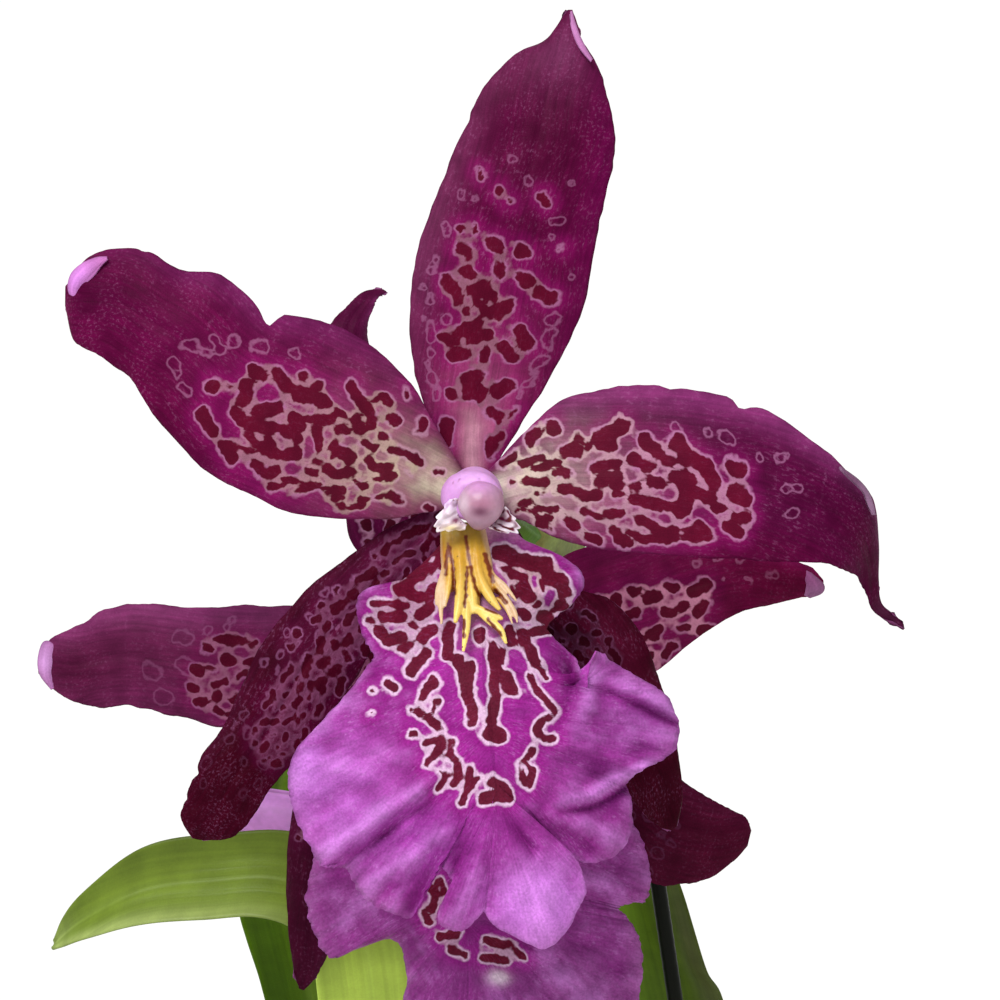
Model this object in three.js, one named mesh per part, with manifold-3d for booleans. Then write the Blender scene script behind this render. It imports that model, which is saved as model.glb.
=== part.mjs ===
// A potted aliceara orchid: two open blooms and a bud on one spike, a thin stake, strap leaves on
// pseudobulbs, bark, and a plain clay pot. Millimetres, +Z up, the blooms face -Y.

import * as THREE from "three";
import { mergeVertices } from "three/addons/utils/BufferGeometryUtils.js";
import Module from "manifold-3d";

const wasm = await Module();
wasm.setup();

// Driving dimensions
const gap = 0.35;
const tepalThickness = 0.7;
const lipThickness = 0.7;
const leafThickness = 0.9;

const pot = { baseRadius: 45, rimRadius: 63, height: 110, wall: 4, rimHeight: 17, rimStep: 2.5 };
const drain = { count: 4, radius: 4, ring: 24 };
const bark = { top: 99, relief: 2.2, rings: 7, spokes: 30, clear: gap };
const stake = { radius: 1.1, foot: [47.6, -3.6, 61], top: [2.7, -12.2, 361] };

// The blooms were read off in a plane that faces the eye, square to it through the front column.
const eyeDistance = 500;
const eyeAim = { x: 3.1, z: -1.2 };
const bloomTilt = THREE.MathUtils.degToRad(9);
const bloomPlace = new THREE.Vector3(-13.75, -62, 366);

// Small repeats are drawn with a seed, so that each build is the same
function seededDraw(seed) {
  let state = seed;
  return () => {
    state = (state * 16807) % 2147483647;
    return state / 2147483647;
  };
}

// A row of numbers part of the way along a list of rows, on a smooth curve through all of them
function rowAt(rows, t) {
  const place = THREE.MathUtils.clamp(t, 0, 1) * (rows.length - 1);
  const i = Math.min(Math.floor(place), rows.length - 2);
  const f = place - i;
  const before = rows[i - 1] ?? rows[i].map((n, k) => 2 * n - rows[i + 1][k]);
  const after = rows[i + 2] ?? rows[i + 1].map((n, k) => 2 * n - rows[i][k]);
  return rows[i].map((b, k) => {
    const a = before[k];
    const c = rows[i + 1][k];
    const d = after[k];
    const square = (2 * a - 5 * b + 4 * c - d) * f * f;
    const cube = (3 * b - a - 3 * c + d) * f * f * f;
    return 0.5 * (2 * b + (c - a) * f + square + cube);
  });
}

// A point read in the bloom plane, moved back by its depth: it spreads away from the aim
function fromPlane(x, depth, z) {
  const spread = 1 + depth / eyeDistance;
  return new THREE.Vector3(
    eyeAim.x + (x - eyeAim.x) * spread,
    depth,
    eyeAim.z + (z - eyeAim.z) * spread,
  );
}

// The same point in the frame of the whole plant
function toPlant(x, depth, z) {
  const tilt = new THREE.Euler(-bloomTilt, 0, 0);
  return fromPlane(x, depth, z).applyEuler(tilt).add(bloomPlace);
}

// Closed bodies

function signedVolume(points, triangles) {
  let sum = 0;
  for (const [a, b, c] of triangles) {
    sum += points[a].dot(new THREE.Vector3().crossVectors(points[b], points[c])) / 6;
  }
  return sum;
}

function bodyOf(points, triangles) {
  const outward = signedVolume(points, triangles) > 0;
  const index = triangles.flatMap(([a, b, c]) => (outward ? [a, b, c] : [a, c, b]));
  const geometry = new THREE.BufferGeometry();
  geometry.setAttribute("position", new THREE.Float32BufferAttribute(points.flatMap((p) => p.toArray()), 3));
  geometry.setIndex(index);
  return geometry;
}

// The body between a sheet's front and back, which share one list of triangles
function bodyBetween(front, back, triangles) {
  const count = front.length;
  const walls = [];
  const edges = new Set(triangles.flatMap(([a, b, c]) => [`${a},${b}`, `${b},${c}`, `${c},${a}`]));
  for (const edge of edges) {
    const [a, b] = edge.split(",").map(Number);
    if (!edges.has(`${b},${a}`)) {
      walls.push([b, a, a + count], [b, a + count, b + count]);
    }
  }
  const backFaces = triangles.map(([a, b, c]) => [c + count, b + count, a + count]);
  return bodyOf([...front, ...back], [...triangles, ...backFaces, ...walls]);
}

// A thin sheet, given its two faces half a thickness to each side
function thicken(points, triangles, thickness) {
  const places = new Map();
  const merged = [];
  const slots = points.map((point) => {
    const key = point.toArray().map((n) => Math.round(n * 500)).join();
    if (!places.has(key)) {
      places.set(key, merged.length);
      merged.push(point);
    }
    return places.get(key);
  });
  const faces = triangles
    .map((corners) => corners.map((corner) => slots[corner]))
    .filter(([a, b, c]) => a !== b && b !== c && c !== a);
  const normals = merged.map(() => new THREE.Vector3());
  for (const [a, b, c] of faces) {
    const side = merged[b].clone().sub(merged[a]);
    const normal = side.cross(merged[c].clone().sub(merged[a]));
    for (const corner of [a, b, c]) {
      normals[corner].add(normal);
    }
  }
  const faceAt = (side) => merged.map((point, i) => (
    point.clone().addScaledVector(normals[i].clone().normalize(), (side * thickness) / 2)
  ));
  return bodyBetween(faceAt(1), faceAt(-1), faces);
}

// Triangles of a grid of points, numbered row by row
function gridTriangles(rowCount, columnCount, first = 0) {
  const triangles = [];
  for (let i = 0; i < rowCount - 1; i += 1) {
    for (let j = 0; j < columnCount - 1; j += 1) {
      const a = first + i * columnCount + j;
      const b = a + columnCount;
      triangles.push([a, b, b + 1], [a, b + 1, a + 1]);
    }
  }
  return triangles;
}

// A body through closed rings of points, shut with a fan at each end
function bodyThroughRings(rings) {
  const sides = rings[0].length;
  const points = rings.flat();
  const triangles = [];
  for (let i = 0; i < rings.length - 1; i += 1) {
    for (let j = 0; j < sides; j += 1) {
      const next = (j + 1) % sides;
      const [a, b] = [i * sides + j, i * sides + next];
      const [c, d] = [a + sides, b + sides];
      triangles.push([a, b, d], [a, d, c]);
    }
  }
  for (const [ring, flip] of [[0, true], [rings.length - 1, false]]) {
    const middle = points.length;
    const sum = rings[ring].reduce((total, point) => total.add(point), new THREE.Vector3());
    points.push(sum.divideScalar(sides));
    for (let j = 0; j < sides; j += 1) {
      const [a, b] = [ring * sides + j, ring * sides + ((j + 1) % sides)];
      triangles.push(flip ? [middle, b, a] : [middle, a, b]);
    }
  }
  return bodyOf(points, triangles);
}

// A tapering stem along a smooth curve: rows of x, y, z and radius
function stemAlong(rows, steps, sides) {
  const rings = [];
  let across = new THREE.Vector3(1, 0, 0);
  for (let i = 0; i <= steps; i += 1) {
    const here = rowAt(rows, i / steps);
    const [ax, ay, az] = rowAt(rows, Math.min(i / steps + 0.01, 1));
    const [bx, by, bz] = rowAt(rows, Math.max(i / steps - 0.01, 0));
    const along = new THREE.Vector3(ax - bx, ay - by, az - bz).normalize();
    across = across.addScaledVector(along, -across.dot(along)).normalize();
    const third = new THREE.Vector3().crossVectors(along, across);
    const ring = [];
    for (let j = 0; j < sides; j += 1) {
      const turn = (2 * Math.PI * j) / sides;
      const spoke = across.clone().multiplyScalar(Math.cos(turn)).addScaledVector(third, Math.sin(turn));
      ring.push(new THREE.Vector3(...here.slice(0, 3)).addScaledVector(spoke, here[3]));
    }
    rings.push(ring);
  }
  return bodyThroughRings(rings);
}

// Solids that are cut or joined
function solidOf(geometry) {
  const bare = geometry.clone();
  bare.deleteAttribute("normal");
  bare.deleteAttribute("uv");
  const merged = mergeVertices(bare, 1e-4);
  return new wasm.Manifold(new wasm.Mesh({
    numProp: 3,
    vertProperties: new Float32Array(merged.attributes.position.array),
    triVerts: new Uint32Array(merged.index.array),
  }));
}

function geometryOf(solid) {
  const mesh = solid.getMesh();
  const geometry = new THREE.BufferGeometry();
  geometry.setAttribute("position", new THREE.BufferAttribute(new Float32Array(mesh.vertProperties), 3));
  geometry.setIndex(new THREE.BufferAttribute(new Uint32Array(mesh.triVerts), 1));
  return geometry;
}

function joined(geometries) {
  const [first, ...rest] = geometries.map(solidOf);
  return geometryOf(rest.reduce((sum, solid) => sum.add(solid), first));
}

function cut(geometry, cutters) {
  return geometryOf(cutters.map(solidOf).reduce((left, cutter) => left.subtract(cutter), solidOf(geometry)));
}

// Materials
function surface(color, roughness) {
  return new THREE.MeshStandardMaterial({ color, roughness, metalness: 0 });
}

const tepalMaterial = surface("#61123c", 0.5);
const rearTepalMaterial = surface("#4d0f33", 0.5);
const lipMaterial = surface("#ab4aa6", 0.5);
const calyxMaterial = surface("#f2c860", 0.45);
const columnMaterial = surface("#e3b4df", 0.45);
const antherMaterial = surface("#d59eb4", 0.4);
const budMaterial = surface("#b878bd", 0.5);
const stemMaterial = surface("#5b7920", 0.5);
const leafMaterial = surface("#6a8a30", 0.45);
const bulbMaterial = surface("#7d9446", 0.5);
const stakeMaterial = surface("#131613", 0.6);
const barkMaterial = surface("#5c3a24", 0.95);
const potMaterial = surface("#a8603c", 0.85);

// Tepals: rows from foot to tip, each with one edge's x and z, the other edge's x and z, the depth of
// the midrib, and how far each edge lies behind the midrib
const frontTepals = {
  dorsal_sepal: {
    waves: 3,
    rows: [
      [-1.5, 1, 1.5, 1, 3.9, 0, 0],
      [-5.2, 7.8, 5.2, 7.4, 3.8, 0.2, 0.2],
      [-7.5, 15, 9.5, 14.3, 3.3, 0.8, 0.8],
      [-8.2, 22.5, 13.2, 21.8, 2.4, 1.4, 1.4],
      [-7.1, 30, 15.1, 31.2, 1.8, 1.8, 1.8],
      [-4.8, 36.9, 16.5, 37.5, 1.6, 2, 2],
      [-1.6, 44.8, 17.5, 43.1, 1.8, 1.8, 1.8],
      [0.9, 50, 16.8, 48.1, 2.4, 1.6, 1.6],
      [4.9, 54.4, 15.5, 52.5, 3.4, 1.2, 1.2],
      [8.8, 56.3, 13.4, 56.5, 5, 0.6, 0.8],
      [11.5, 60, 12.2, 60, 7.5, 0, 0],
    ],
  },
  left_petal: {
    waves: 4,
    rows: [
      [-0.9, 1.4, -0.9, -1.4, 2.6, 0, 0],
      [-4.6, 7.4, -6.2, -2.8, 2.4, 0.1, 0.1],
      [-7.8, 13, -12.9, -3.6, 1, 1, 0.6],
      [-12.9, 18, -21.9, -3.1, -0.6, 2.4, 1.5],
      [-19.1, 21.1, -29.6, 0.1, -1.2, 3, 1.5],
      [-25.6, 22.4, -34.9, 3.6, -1.4, 3, 1.2],
      [-31.6, 26.8, -40.4, 9.9, -1, 2.6, 1],
      [-36.9, 27.6, -43.3, 14.1, 0, 2.2, 1],
      [-41.9, 30.2, -47.2, 16.8, 1.5, 1.6, 0.8],
      [-47.8, 29.4, -50.1, 18.8, 3.5, 0.8, 0.4],
      [-51.2, 25.6, -51.2, 22.8, 5.5, 0, 0],
    ],
  },
  right_petal: {
    waves: 4,
    rows: [
      [0.9, 1.6, 0.9, -1.2, 2.6, 0, 0],
      [5.3, 6.3, 4.6, -3.2, 2.4, 0.1, 0.1],
      [10.1, 10.8, 9.1, -5.5, 1, 0.8, 0.6],
      [15.6, 12.6, 15.6, -7.4, -0.6, 1.6, 1.4],
      [21.9, 13.1, 22.1, -7.9, -1.2, 2, 1.5],
      [28.8, 12.2, 28.8, -8.4, -1.4, 2.2, 1.2],
      [36.2, 10.1, 35, -8.8, -1.2, 2.4, 0.8],
      [42.9, 5.6, 40.9, -9, -0.6, 2.8, 0.5],
      [46.9, 2, 44.6, -9.4, 0.6, 3, 0.4],
      [49.7, -1.2, 46.8, -10.2, 2.5, 2.6, 0.4],
      [50.4, -6.4, 48.1, -11.4, 5, 1.4, 0.4],
      [50.4, -11.2, 49, -13.4, 7.2, 0.5, 0.3],
      [50.8, -14, 49.9, -15.3, 9.2, 0.2, 0.2],
      [53.5, -16.6, 53.6, -17.3, 12, 0, 0],
    ],
  },
  left_sepal: {
    waves: 3,
    rows: [
      [-2.6, -0.6, -0.9, -2.6, 3.9, 0, 0],
      [-8.8, -3.7, -5.2, -8.2, 4.6, 0.2, 0.2],
      [-15.5, -7.9, -9.4, -15, 5, 0.6, 0.5],
      [-21.6, -13.1, -13.1, -20.6, 5.2, 1, 0.8],
      [-26.4, -18.8, -16.9, -26.2, 5.4, 1.2, 1],
      [-29.4, -25.2, -20.4, -31.5, 5.6, 1.2, 1],
      [-31.8, -30, -23.5, -35, 6, 1.2, 1],
      [-34.8, -34.4, -26.4, -38.5, 6.6, 1, 0.8],
      [-35.8, -37.5, -28.4, -41.8, 7.2, 0.8, 0.6],
      [-36.9, -40.6, -30.9, -43.5, 7.8, 0.4, 0.3],
      [-35.4, -43.5, -33.9, -43.8, 8.4, 0, 0],
    ],
  },
  right_sepal: {
    waves: 3,
    rows: [
      [2.6, -0.9, 1, -2.9, 3.9, 0, 0],
      [7.1, -7.2, 4.6, -11.2, 5, 0.2, 0.2],
      [12.5, -12, 8.8, -18.8, 6.2, 0.4, 0.4],
      [17.1, -13.8, 12.1, -25, 7.2, 0.8, 0.8],
      [20.6, -17.9, 15, -30.6, 8.2, 1, 1],
      [23.1, -23.8, 17.5, -35, 9.2, 1, 1],
      [24.5, -28.1, 19.6, -38.5, 10, 1, 1],
      [25.4, -33.1, 21.4, -40.8, 10.8, 0.8, 0.8],
      [25.9, -38.1, 22.9, -42, 11.6, 0.4, 0.4],
      [25.2, -42, 24.5, -42.5, 12.4, 0, 0],
    ],
  },
};

const rearTepals = {
  dorsal_sepal: {
    waves: 3,
    rows: [
      [-5.6, -18.6, -2.6, -18.3, 38.9, 0, 0],
      [-10.6, -12, -4.4, -9.8, 38.8, 0.3, 0.3],
      [-15.2, -6.9, -6.2, -2.5, 38.4, 0.8, 0.8],
      [-16.4, -2.5, -7.9, 3.8, 38, 1.2, 1.2],
      [-17.8, 5, -9.6, 10, 38, 1.4, 1.4],
      [-18.8, 12.5, -11.4, 15, 38.4, 1.4, 1.4],
      [-18.5, 18.8, -13.4, 18.5, 39, 1.4, 1.4],
      [-17.5, 21.5, -13.3, 21, 40, 1, 1],
      [-15.6, 23.4, -12.7, 22.8, 41, 0.6, 0.6],
      [-13.9, 24.8, -12.1, 24.1, 42.4, 0.3, 0.3],
      [-11.6, 25.1, -11.1, 24.8, 44, 0, 0],
    ],
  },
  left_petal: {
    waves: 4,
    rows: [
      [-4.9, -18, -4.9, -20.8, 37.4, 0, 0],
      [-10.2, -15.6, -10.6, -23.6, 37.4, 0.1, 0.1],
      [-16.9, -14.2, -18.1, -27.4, 36.4, 1, 1],
      [-23.1, -14.5, -25, -29.5, 36, 1.4, 1.4],
      [-29.4, -14.5, -31.6, -29.6, 36, 1.6, 1.6],
      [-35.6, -14.6, -37.5, -28.2, 36.2, 1.6, 1.6],
      [-41.9, -14.1, -42.5, -27.2, 36.8, 1.4, 1.4],
      [-46.1, -14.9, -46.9, -27.1, 37.6, 1, 1],
      [-49.6, -16.9, -50.1, -26.5, 38.6, 0.6, 0.6],
      [-52.9, -18.5, -53.1, -24.6, 39.8, 0.3, 0.3],
      [-54.6, -21, -54.6, -22.8, 41, 0, 0],
    ],
  },
  right_petal: {
    waves: 4,
    rows: [
      [-3.1, -18, -3.1, -20.8, 37.4, 0, 0],
      [2.2, -14.6, 2.2, -23.4, 37.4, 0.1, 0.1],
      [8.1, -10.5, 10, -26.2, 36.4, 1, 1],
      [12.9, -7.4, 16.9, -25.2, 36, 1.4, 1.4],
      [19.4, -6, 22.5, -22.5, 36, 1.6, 1.6],
      [26.2, -5.6, 27.8, -18.5, 36.2, 1.6, 1.6],
      [32.5, -6.2, 33.6, -15, 36.8, 1.4, 1.4],
      [37.5, -7.8, 37.6, -14.2, 37.6, 1, 1],
      [40.5, -9, 40.6, -13.4, 38.6, 0.6, 0.6],
      [42.2, -9.8, 42.1, -13.2, 39.6, 0.3, 0.3],
      [43.5, -11.2, 43.5, -12.2, 40.6, 0, 0],
    ],
  },
  left_sepal: {
    waves: 3,
    rows: [
      [-6.6, -20.3, -4.9, -22.2, 38.9, 0, 0],
      [-10.4, -23, -6.6, -27.5, 39.4, 0.2, 0.2],
      [-15.6, -27.5, -9.4, -33.1, 40, 0.6, 0.6],
      [-20, -33.8, -11.9, -38.8, 40.4, 1, 1],
      [-22.8, -40, -14.4, -45, 40.8, 1.2, 1.2],
      [-23.5, -46.2, -16.2, -50.6, 41.2, 1.2, 1.2],
      [-23.5, -51.9, -17.8, -55, 41.8, 1.2, 1.2],
      [-23.1, -57.5, -18.5, -58.1, 42.4, 0.8, 0.8],
      [-22.6, -60.2, -19.9, -60.8, 43.2, 0.4, 0.4],
      [-22.1, -62.2, -21.4, -62.5, 44, 0, 0],
    ],
  },
  right_sepal: {
    waves: 3,
    rows: [
      [-1.5, -20.3, -3, -22.3, 38.9, 0, 0],
      [4.4, -22.2, 0.6, -27.5, 39.4, 0.2, 0.2],
      [11.2, -25.6, 5.6, -34.4, 40, 0.6, 0.6],
      [17.5, -30, 11.2, -41.2, 40.4, 1, 1],
      [21.9, -33.1, 16.9, -46.5, 40.8, 1.2, 1.2],
      [25.6, -36.1, 21.9, -49.1, 41.2, 1.2, 1.2],
      [29.1, -38.4, 25.9, -49.2, 41.8, 1.2, 1.2],
      [31.9, -39.8, 29.1, -48.5, 42.4, 0.8, 0.8],
      [33.9, -41, 32.1, -46.5, 43.2, 0.4, 0.4],
      [34.5, -42.5, 34, -44.5, 44, 0, 0],
    ],
  },
};

const tepalGrid = { along: 22, across: 4 };
const tepalWave = 0.5;

// u runs from foot to tip, v from -1 at the first edge to 1 at the second
function tepalPoint(tepal, u, v) {
  const [ax, az, bx, bz, rib, backA, backB] = rowAt(tepal.rows, u);
  const wave = tepalWave * Math.abs(v) ** 3 * Math.sin(Math.PI * u) ** 2;
  const swing = Math.sin(2 * Math.PI * tepal.waves * u + 2 * v);
  const back = (v * v * (backA + backB)) / 2 + (v * (backB - backA)) / 2;
  return fromPlane(
    (ax + bx) / 2 + (v * (bx - ax)) / 2,
    rib + back + wave * swing,
    (az + bz) / 2 + (v * (bz - az)) / 2,
  );
}

function tepalBlade(tepal) {
  const points = [];
  for (let i = 0; i <= tepalGrid.along; i += 1) {
    for (let j = 0; j <= tepalGrid.across; j += 1) {
      points.push(tepalPoint(tepal, i / tepalGrid.along, (2 * j) / tepalGrid.across - 1));
    }
  }
  return thicken(points, gridTriangles(tepalGrid.along + 1, tepalGrid.across + 1), tepalThickness);
}

// Lips: points with x, z and depth, down each side from the column's foot to the lowest point, and down
// the middle
const frontLip = {
  steps: 36,
  folds: 7,
  left: [
    [-3.2, -3.9, -1.3], [-6.9, -8.2, -0.9], [-10, -11.6, 0], [-13.1, -12.4, 1.4], [-14.8, -14.2, 1.8],
    [-13.8, -19, 0], [-11.1, -21.8, -2], [-15.4, -26, -2], [-20.9, -30.6, -0.5], [-23, -34.8, 0.5],
    [-22.4, -40.6, -1], [-18.4, -46.5, -3.5], [-12.9, -49.2, -5.5], [-7.8, -53, -4], [-5.2, -50.6, -5.6],
    [-3.2, -48.8, -6.8], [-1, -51, -7], [1.1, -53.5, -8.5],
  ],
  right: [
    [4.6, -3.9, -1.3], [8.5, -6.4, -0.9], [12.1, -9, 0.3], [13.6, -11.5, 0.5], [12.4, -14.5, -1],
    [10.9, -17.8, -3], [13.6, -21.2, -4.5], [17.1, -22.2, -3.5], [22.1, -24, -2], [25.1, -27.5, -0.3],
    [25.2, -31.5, -1], [21.6, -34.8, -3.5], [19.1, -37, -4], [19.6, -41.2, -3.2], [17.1, -45.8, -4.5],
    [13.9, -47.8, -7], [13.1, -51.9, -7.5], [9.1, -57, -6], [4.9, -56, -7.5], [1.1, -53.5, -8.5],
  ],
  middle: [
    [0.4, -3.9, -3.1], [0.5, -8.5, -5.4], [0.9, -13.8, -8], [1.4, -20, -10.5], [1.9, -26.2, -12.5],
    [2.4, -32.5, -13.5], [2.8, -38.8, -13.5],
  ],
};

const rearLip = {
  steps: 24,
  folds: 6,
  left: [
    [-6.6, -23.9, 33.5], [-9.5, -26.8, 34], [-13, -28, 35.5], [-16.2, -31.5, 35.5], [-13.8, -35.4, 34],
    [-16.4, -39.5, 33.5], [-19.6, -45, 34.5], [-21.1, -50.6, 35], [-20.2, -55.1, 34], [-18.1, -58.4, 33],
    [-14.5, -57.2, 31.5], [-10, -56.2, 30.5], [-8.5, -61, 32], [-9.2, -66, 33], [-6.5, -71.5, 31],
    [-1.2, -73.6, 29],
  ],
  right: [
    [-1.2, -23.9, 33.5], [3.1, -25.6, 34], [8.1, -27, 35], [10.2, -31, 34], [13, -35.8, 32.5],
    [17.4, -39.2, 34], [20.6, -43.1, 35], [21.9, -48.1, 35], [20.4, -52.2, 33], [20.6, -56, 34],
    [20.8, -61, 34], [19.4, -66.2, 33], [15.6, -71.5, 31], [8.1, -74.8, 29.5], [-1.2, -73.6, 29],
  ],
  middle: [
    [-4, -24.1, 31.6], [-3.6, -27.5, 29], [-2.9, -33, 26.5], [-2.1, -40, 24.5], [-1.5, -47.5, 23.5],
    [-0.9, -55, 24],
  ],
};

const lipAcross = 5;
const lipFold = 0.5;

// s runs down the lip's side, v from its middle to its edge
function lipPoint(lip, side, s, v) {
  const [ex, ez, edgeDepth] = rowAt(lip[side], s);
  const [mx, mz, middleDepth] = rowAt(lip.middle, Math.sin((Math.PI * s) / 2));
  const fold = lipFold * Math.sin(Math.PI * s) * Math.sin(2 * Math.PI * lip.folds * s);
  const depth = middleDepth + (edgeDepth - middleDepth + fold) * v * v;
  return fromPlane(mx + (ex - mx) * v, depth, mz + (ez - mz) * v);
}

function lipBlade(lip) {
  const points = [];
  const triangles = [];
  for (const side of ["left", "right"]) {
    const grid = gridTriangles(lip.steps + 1, lipAcross + 1, points.length);
    triangles.push(...(side === "left" ? grid : grid.map(([a, b, c]) => [a, c, b])));
    for (let i = 0; i <= lip.steps; i += 1) {
      for (let j = 0; j <= lipAcross; j += 1) {
        points.push(lipPoint(lip, side, i / lip.steps, j / lipAcross));
      }
    }
  }
  return thicken(points, triangles, lipThickness);
}

// The callus lies on the lip's middle: three ridges that end in teeth
const callus = { along: 10, across: 12, halfWidth: 3.3, crest: 1.9, base: 0.5, reach: 0.4, tooth: 0.07 };

function callusBody(lip) {
  const top = [];
  const bottom = [];
  for (let i = 0; i <= callus.along; i += 1) {
    const s = i / callus.along;
    for (let j = 0; j <= callus.across; j += 1) {
      const t = (2 * j) / callus.across - 1;
      const ridge = 0.5 + 0.5 * Math.cos(3 * Math.PI * t);
      const q = 0.04 + s * (callus.reach + callus.tooth * ridge);
      const [mx, mz, depth] = rowAt(lip.middle, q);
      const width = callus.halfWidth * (0.7 + 0.3 * Math.sin(Math.PI * s));
      const swell = (1 - 0.6 * t * t) * Math.sin(Math.PI * (0.2 + 0.65 * s));
      const rise = callus.base + callus.crest * ridge * swell;
      const floor = depth - lipThickness / 2 - gap - 0.1;
      top.push(fromPlane(mx + t * width, floor - rise, mz));
      bottom.push(fromPlane(mx + t * width, floor, mz));
    }
  }
  return bodyBetween(top, bottom, gridTriangles(callus.along + 1, callus.across + 1));
}

// Column: rings of depth, half width, half height and the middle's height; its cap sits under the hood
const columnRings = [
  [1.9, 3.2, 4.2, -0.1],
  [0, 3.3, 4.1, -0.1],
  [-3, 3.2, 3.4, 0.1],
  [-5.6, 3.4, 3.2, 0.5],
  [-7.6, 3.7, 3, 0.9],
  [-8.8, 3.2, 2, 1.9],
];
const columnSides = 18;
const cap = { radius: 2.75, x: 1, depth: -8.3, z: -0.9, beakRadius: 0.9, beakDrop: 2.7 };

const wings = [
  [[-2, -0.6], [-3.9, -1.4], [-5, -2.3], [-4.4, -2.9], [-5.1, -3.8], [-4.2, -4], [-4, -5], [-3.1, -4.4],
    [-2, -4.3]],
  [[2, -0.6], [4.6, -1.4], [5.7, -2.2], [5, -2.9], [5.6, -3.8], [4.7, -4], [4.4, -5], [3.4, -4.3],
    [2, -4.3]],
];
const wing = { depth: -4.2, thickness: 0.9 };

function ball(radius, x, depth, z) {
  return new THREE.SphereGeometry(radius, 12, 8).translate(x, depth, z);
}

function columnBody() {
  const rings = columnRings.map(([depth, halfWidth, halfHeight, middle]) => {
    const ring = [];
    for (let j = 0; j < columnSides; j += 1) {
      const turn = (2 * Math.PI * j) / columnSides;
      ring.push(new THREE.Vector3(halfWidth * Math.cos(turn), depth, middle + halfHeight * Math.sin(turn)));
    }
    return ring;
  });
  const flaps = wings.map((outline) => {
    const shape = new THREE.Shape(outline.map(([x, z]) => new THREE.Vector2(x, z)));
    const flap = new THREE.ExtrudeGeometry(shape, { depth: wing.thickness, bevelEnabled: false });
    return flap.rotateX(Math.PI / 2).translate(0, wing.depth, 0);
  });
  return cut(joined([bodyThroughRings(rings), ...flaps]), [
    ball(cap.radius + gap, cap.x, cap.depth, cap.z),
    ball(cap.beakRadius + gap, cap.x, cap.depth - 0.8, cap.z - cap.beakDrop),
  ]);
}

function capBody() {
  return joined([
    ball(cap.radius, cap.x, cap.depth, cap.z),
    ball(cap.beakRadius, cap.x, cap.depth - 0.8, cap.z - cap.beakDrop),
  ]);
}

// Blooms
const frontBloom = { name: "front", x: 0, depth: 0, z: 0, tepals: frontTepals, lip: frontLip };
const rearBloom = { name: "rear", x: -4, depth: 35, z: -19.4, tepals: rearTepals, lip: rearLip };

function bloomGroup(bloom, bladeMaterial) {
  const group = new THREE.Group();
  for (const [name, tepal] of Object.entries(bloom.tepals)) {
    group.add(named(`${bloom.name}_${name}`, tepalBlade(tepal), bladeMaterial));
  }
  group.add(named(`${bloom.name}_lip`, lipBlade(bloom.lip), lipMaterial));
  group.add(named(`${bloom.name}_callus`, callusBody(bloom.lip), calyxMaterial));
  const centre = new THREE.Group();
  centre.position.copy(fromPlane(bloom.x, bloom.depth, bloom.z));
  centre.add(named(`${bloom.name}_column`, columnBody(), columnMaterial));
  centre.add(named(`${bloom.name}_anther_cap`, capBody(), antherMaterial));
  group.add(centre);
  return group;
}

// Spike, in the frame of the whole plant: the stem, the ovaries and pedicels, and a bract at each
const ovaryTop = { behind: 4.65, radius: 2.3 };
const spikeRows = [
  [-4, -2, 88, 3.1],
  [-4, -2, 130, 3],
  [-3, -3, 190, 2.8],
  [-1, -6, 245, 2.6],
  [0, -9.4, 285, 2.5],
  [-0.6, -12.8, 315, 2.4],
  [-2.4, -16, 338, 2.4],
  [-3.6, -17.4, 352, 2.3],
  [-4.3, -17.8, 360, 1.4],
  [-4.5, -17.8, 363, 0.5],
];

function pedicelRows(bloom, joint) {
  const top = toPlant(bloom.x, bloom.depth + ovaryTop.behind, bloom.z);
  const neck = toPlant(bloom.x + 0.3, bloom.depth + ovaryTop.behind + 9, bloom.z - 0.6);
  const waist = neck.clone().lerp(joint, 0.55).add(new THREE.Vector3(0, 0, -1));
  return [
    [...joint.toArray(), 1.3],
    [...waist.toArray(), 1.9],
    [...neck.toArray(), 2],
    [...top.toArray(), ovaryTop.radius],
  ];
}

function bractRows(joint, toward) {
  const reach = toward.clone().sub(joint);
  return [
    [...joint.clone().addScaledVector(reach, -0.08).toArray(), 3.9],
    [...joint.clone().addScaledVector(reach, 0.12).toArray(), 3.8],
    [...joint.clone().addScaledVector(reach, 0.3).add(new THREE.Vector3(0, 0, -1)).toArray(), 2.4],
    [...joint.clone().addScaledVector(reach, 0.42).add(new THREE.Vector3(0, 0, -2.2)).toArray(), 0.4],
  ];
}

const budMiddle = [
  [-13.5, -43.2, 70, 1.3],
  [-16, -43.4, 70.5, 3.6],
  [-20, -42.6, 71, 4.7],
  [-25, -41.4, 71.6, 4.6],
  [-30, -39.8, 72.4, 3.4],
  [-34, -38.2, 73, 1.2],
  [-35, -37.8, 73.2, 0.3],
];
const budStalk = [[-12.6, -43.2, 69.8], [-4, -45.5, 68], [5, -49, 65], [11.8, -52.6, 62]];

function rowsToPlant(rows) {
  return rows.map(([x, z, depth, ...rest]) => [...toPlant(x, depth, z).toArray(), ...rest]);
}

function spikeBody() {
  const frontJoint = new THREE.Vector3(-3.6, -17.3, 351.4);
  const rearJoint = new THREE.Vector3(-1.2, -13.8, 322);
  const frontRows = pedicelRows(frontBloom, frontJoint);
  const rearRows = pedicelRows(rearBloom, rearJoint);
  const stalk = rowsToPlant(budStalk).map((row) => [...row, 1.2]);
  return joined([
    stemAlong(spikeRows, 28, 8),
    stemAlong(frontRows, 9, 8),
    stemAlong(rearRows, 9, 8),
    stemAlong(stalk, 7, 6),
    bractRowsBody(frontJoint, frontRows),
    bractRowsBody(rearJoint, rearRows),
  ]);
}

function bractRowsBody(joint, rows) {
  return stemAlong(bractRows(joint, new THREE.Vector3(...rows[2].slice(0, 3))), 6, 8);
}

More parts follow.
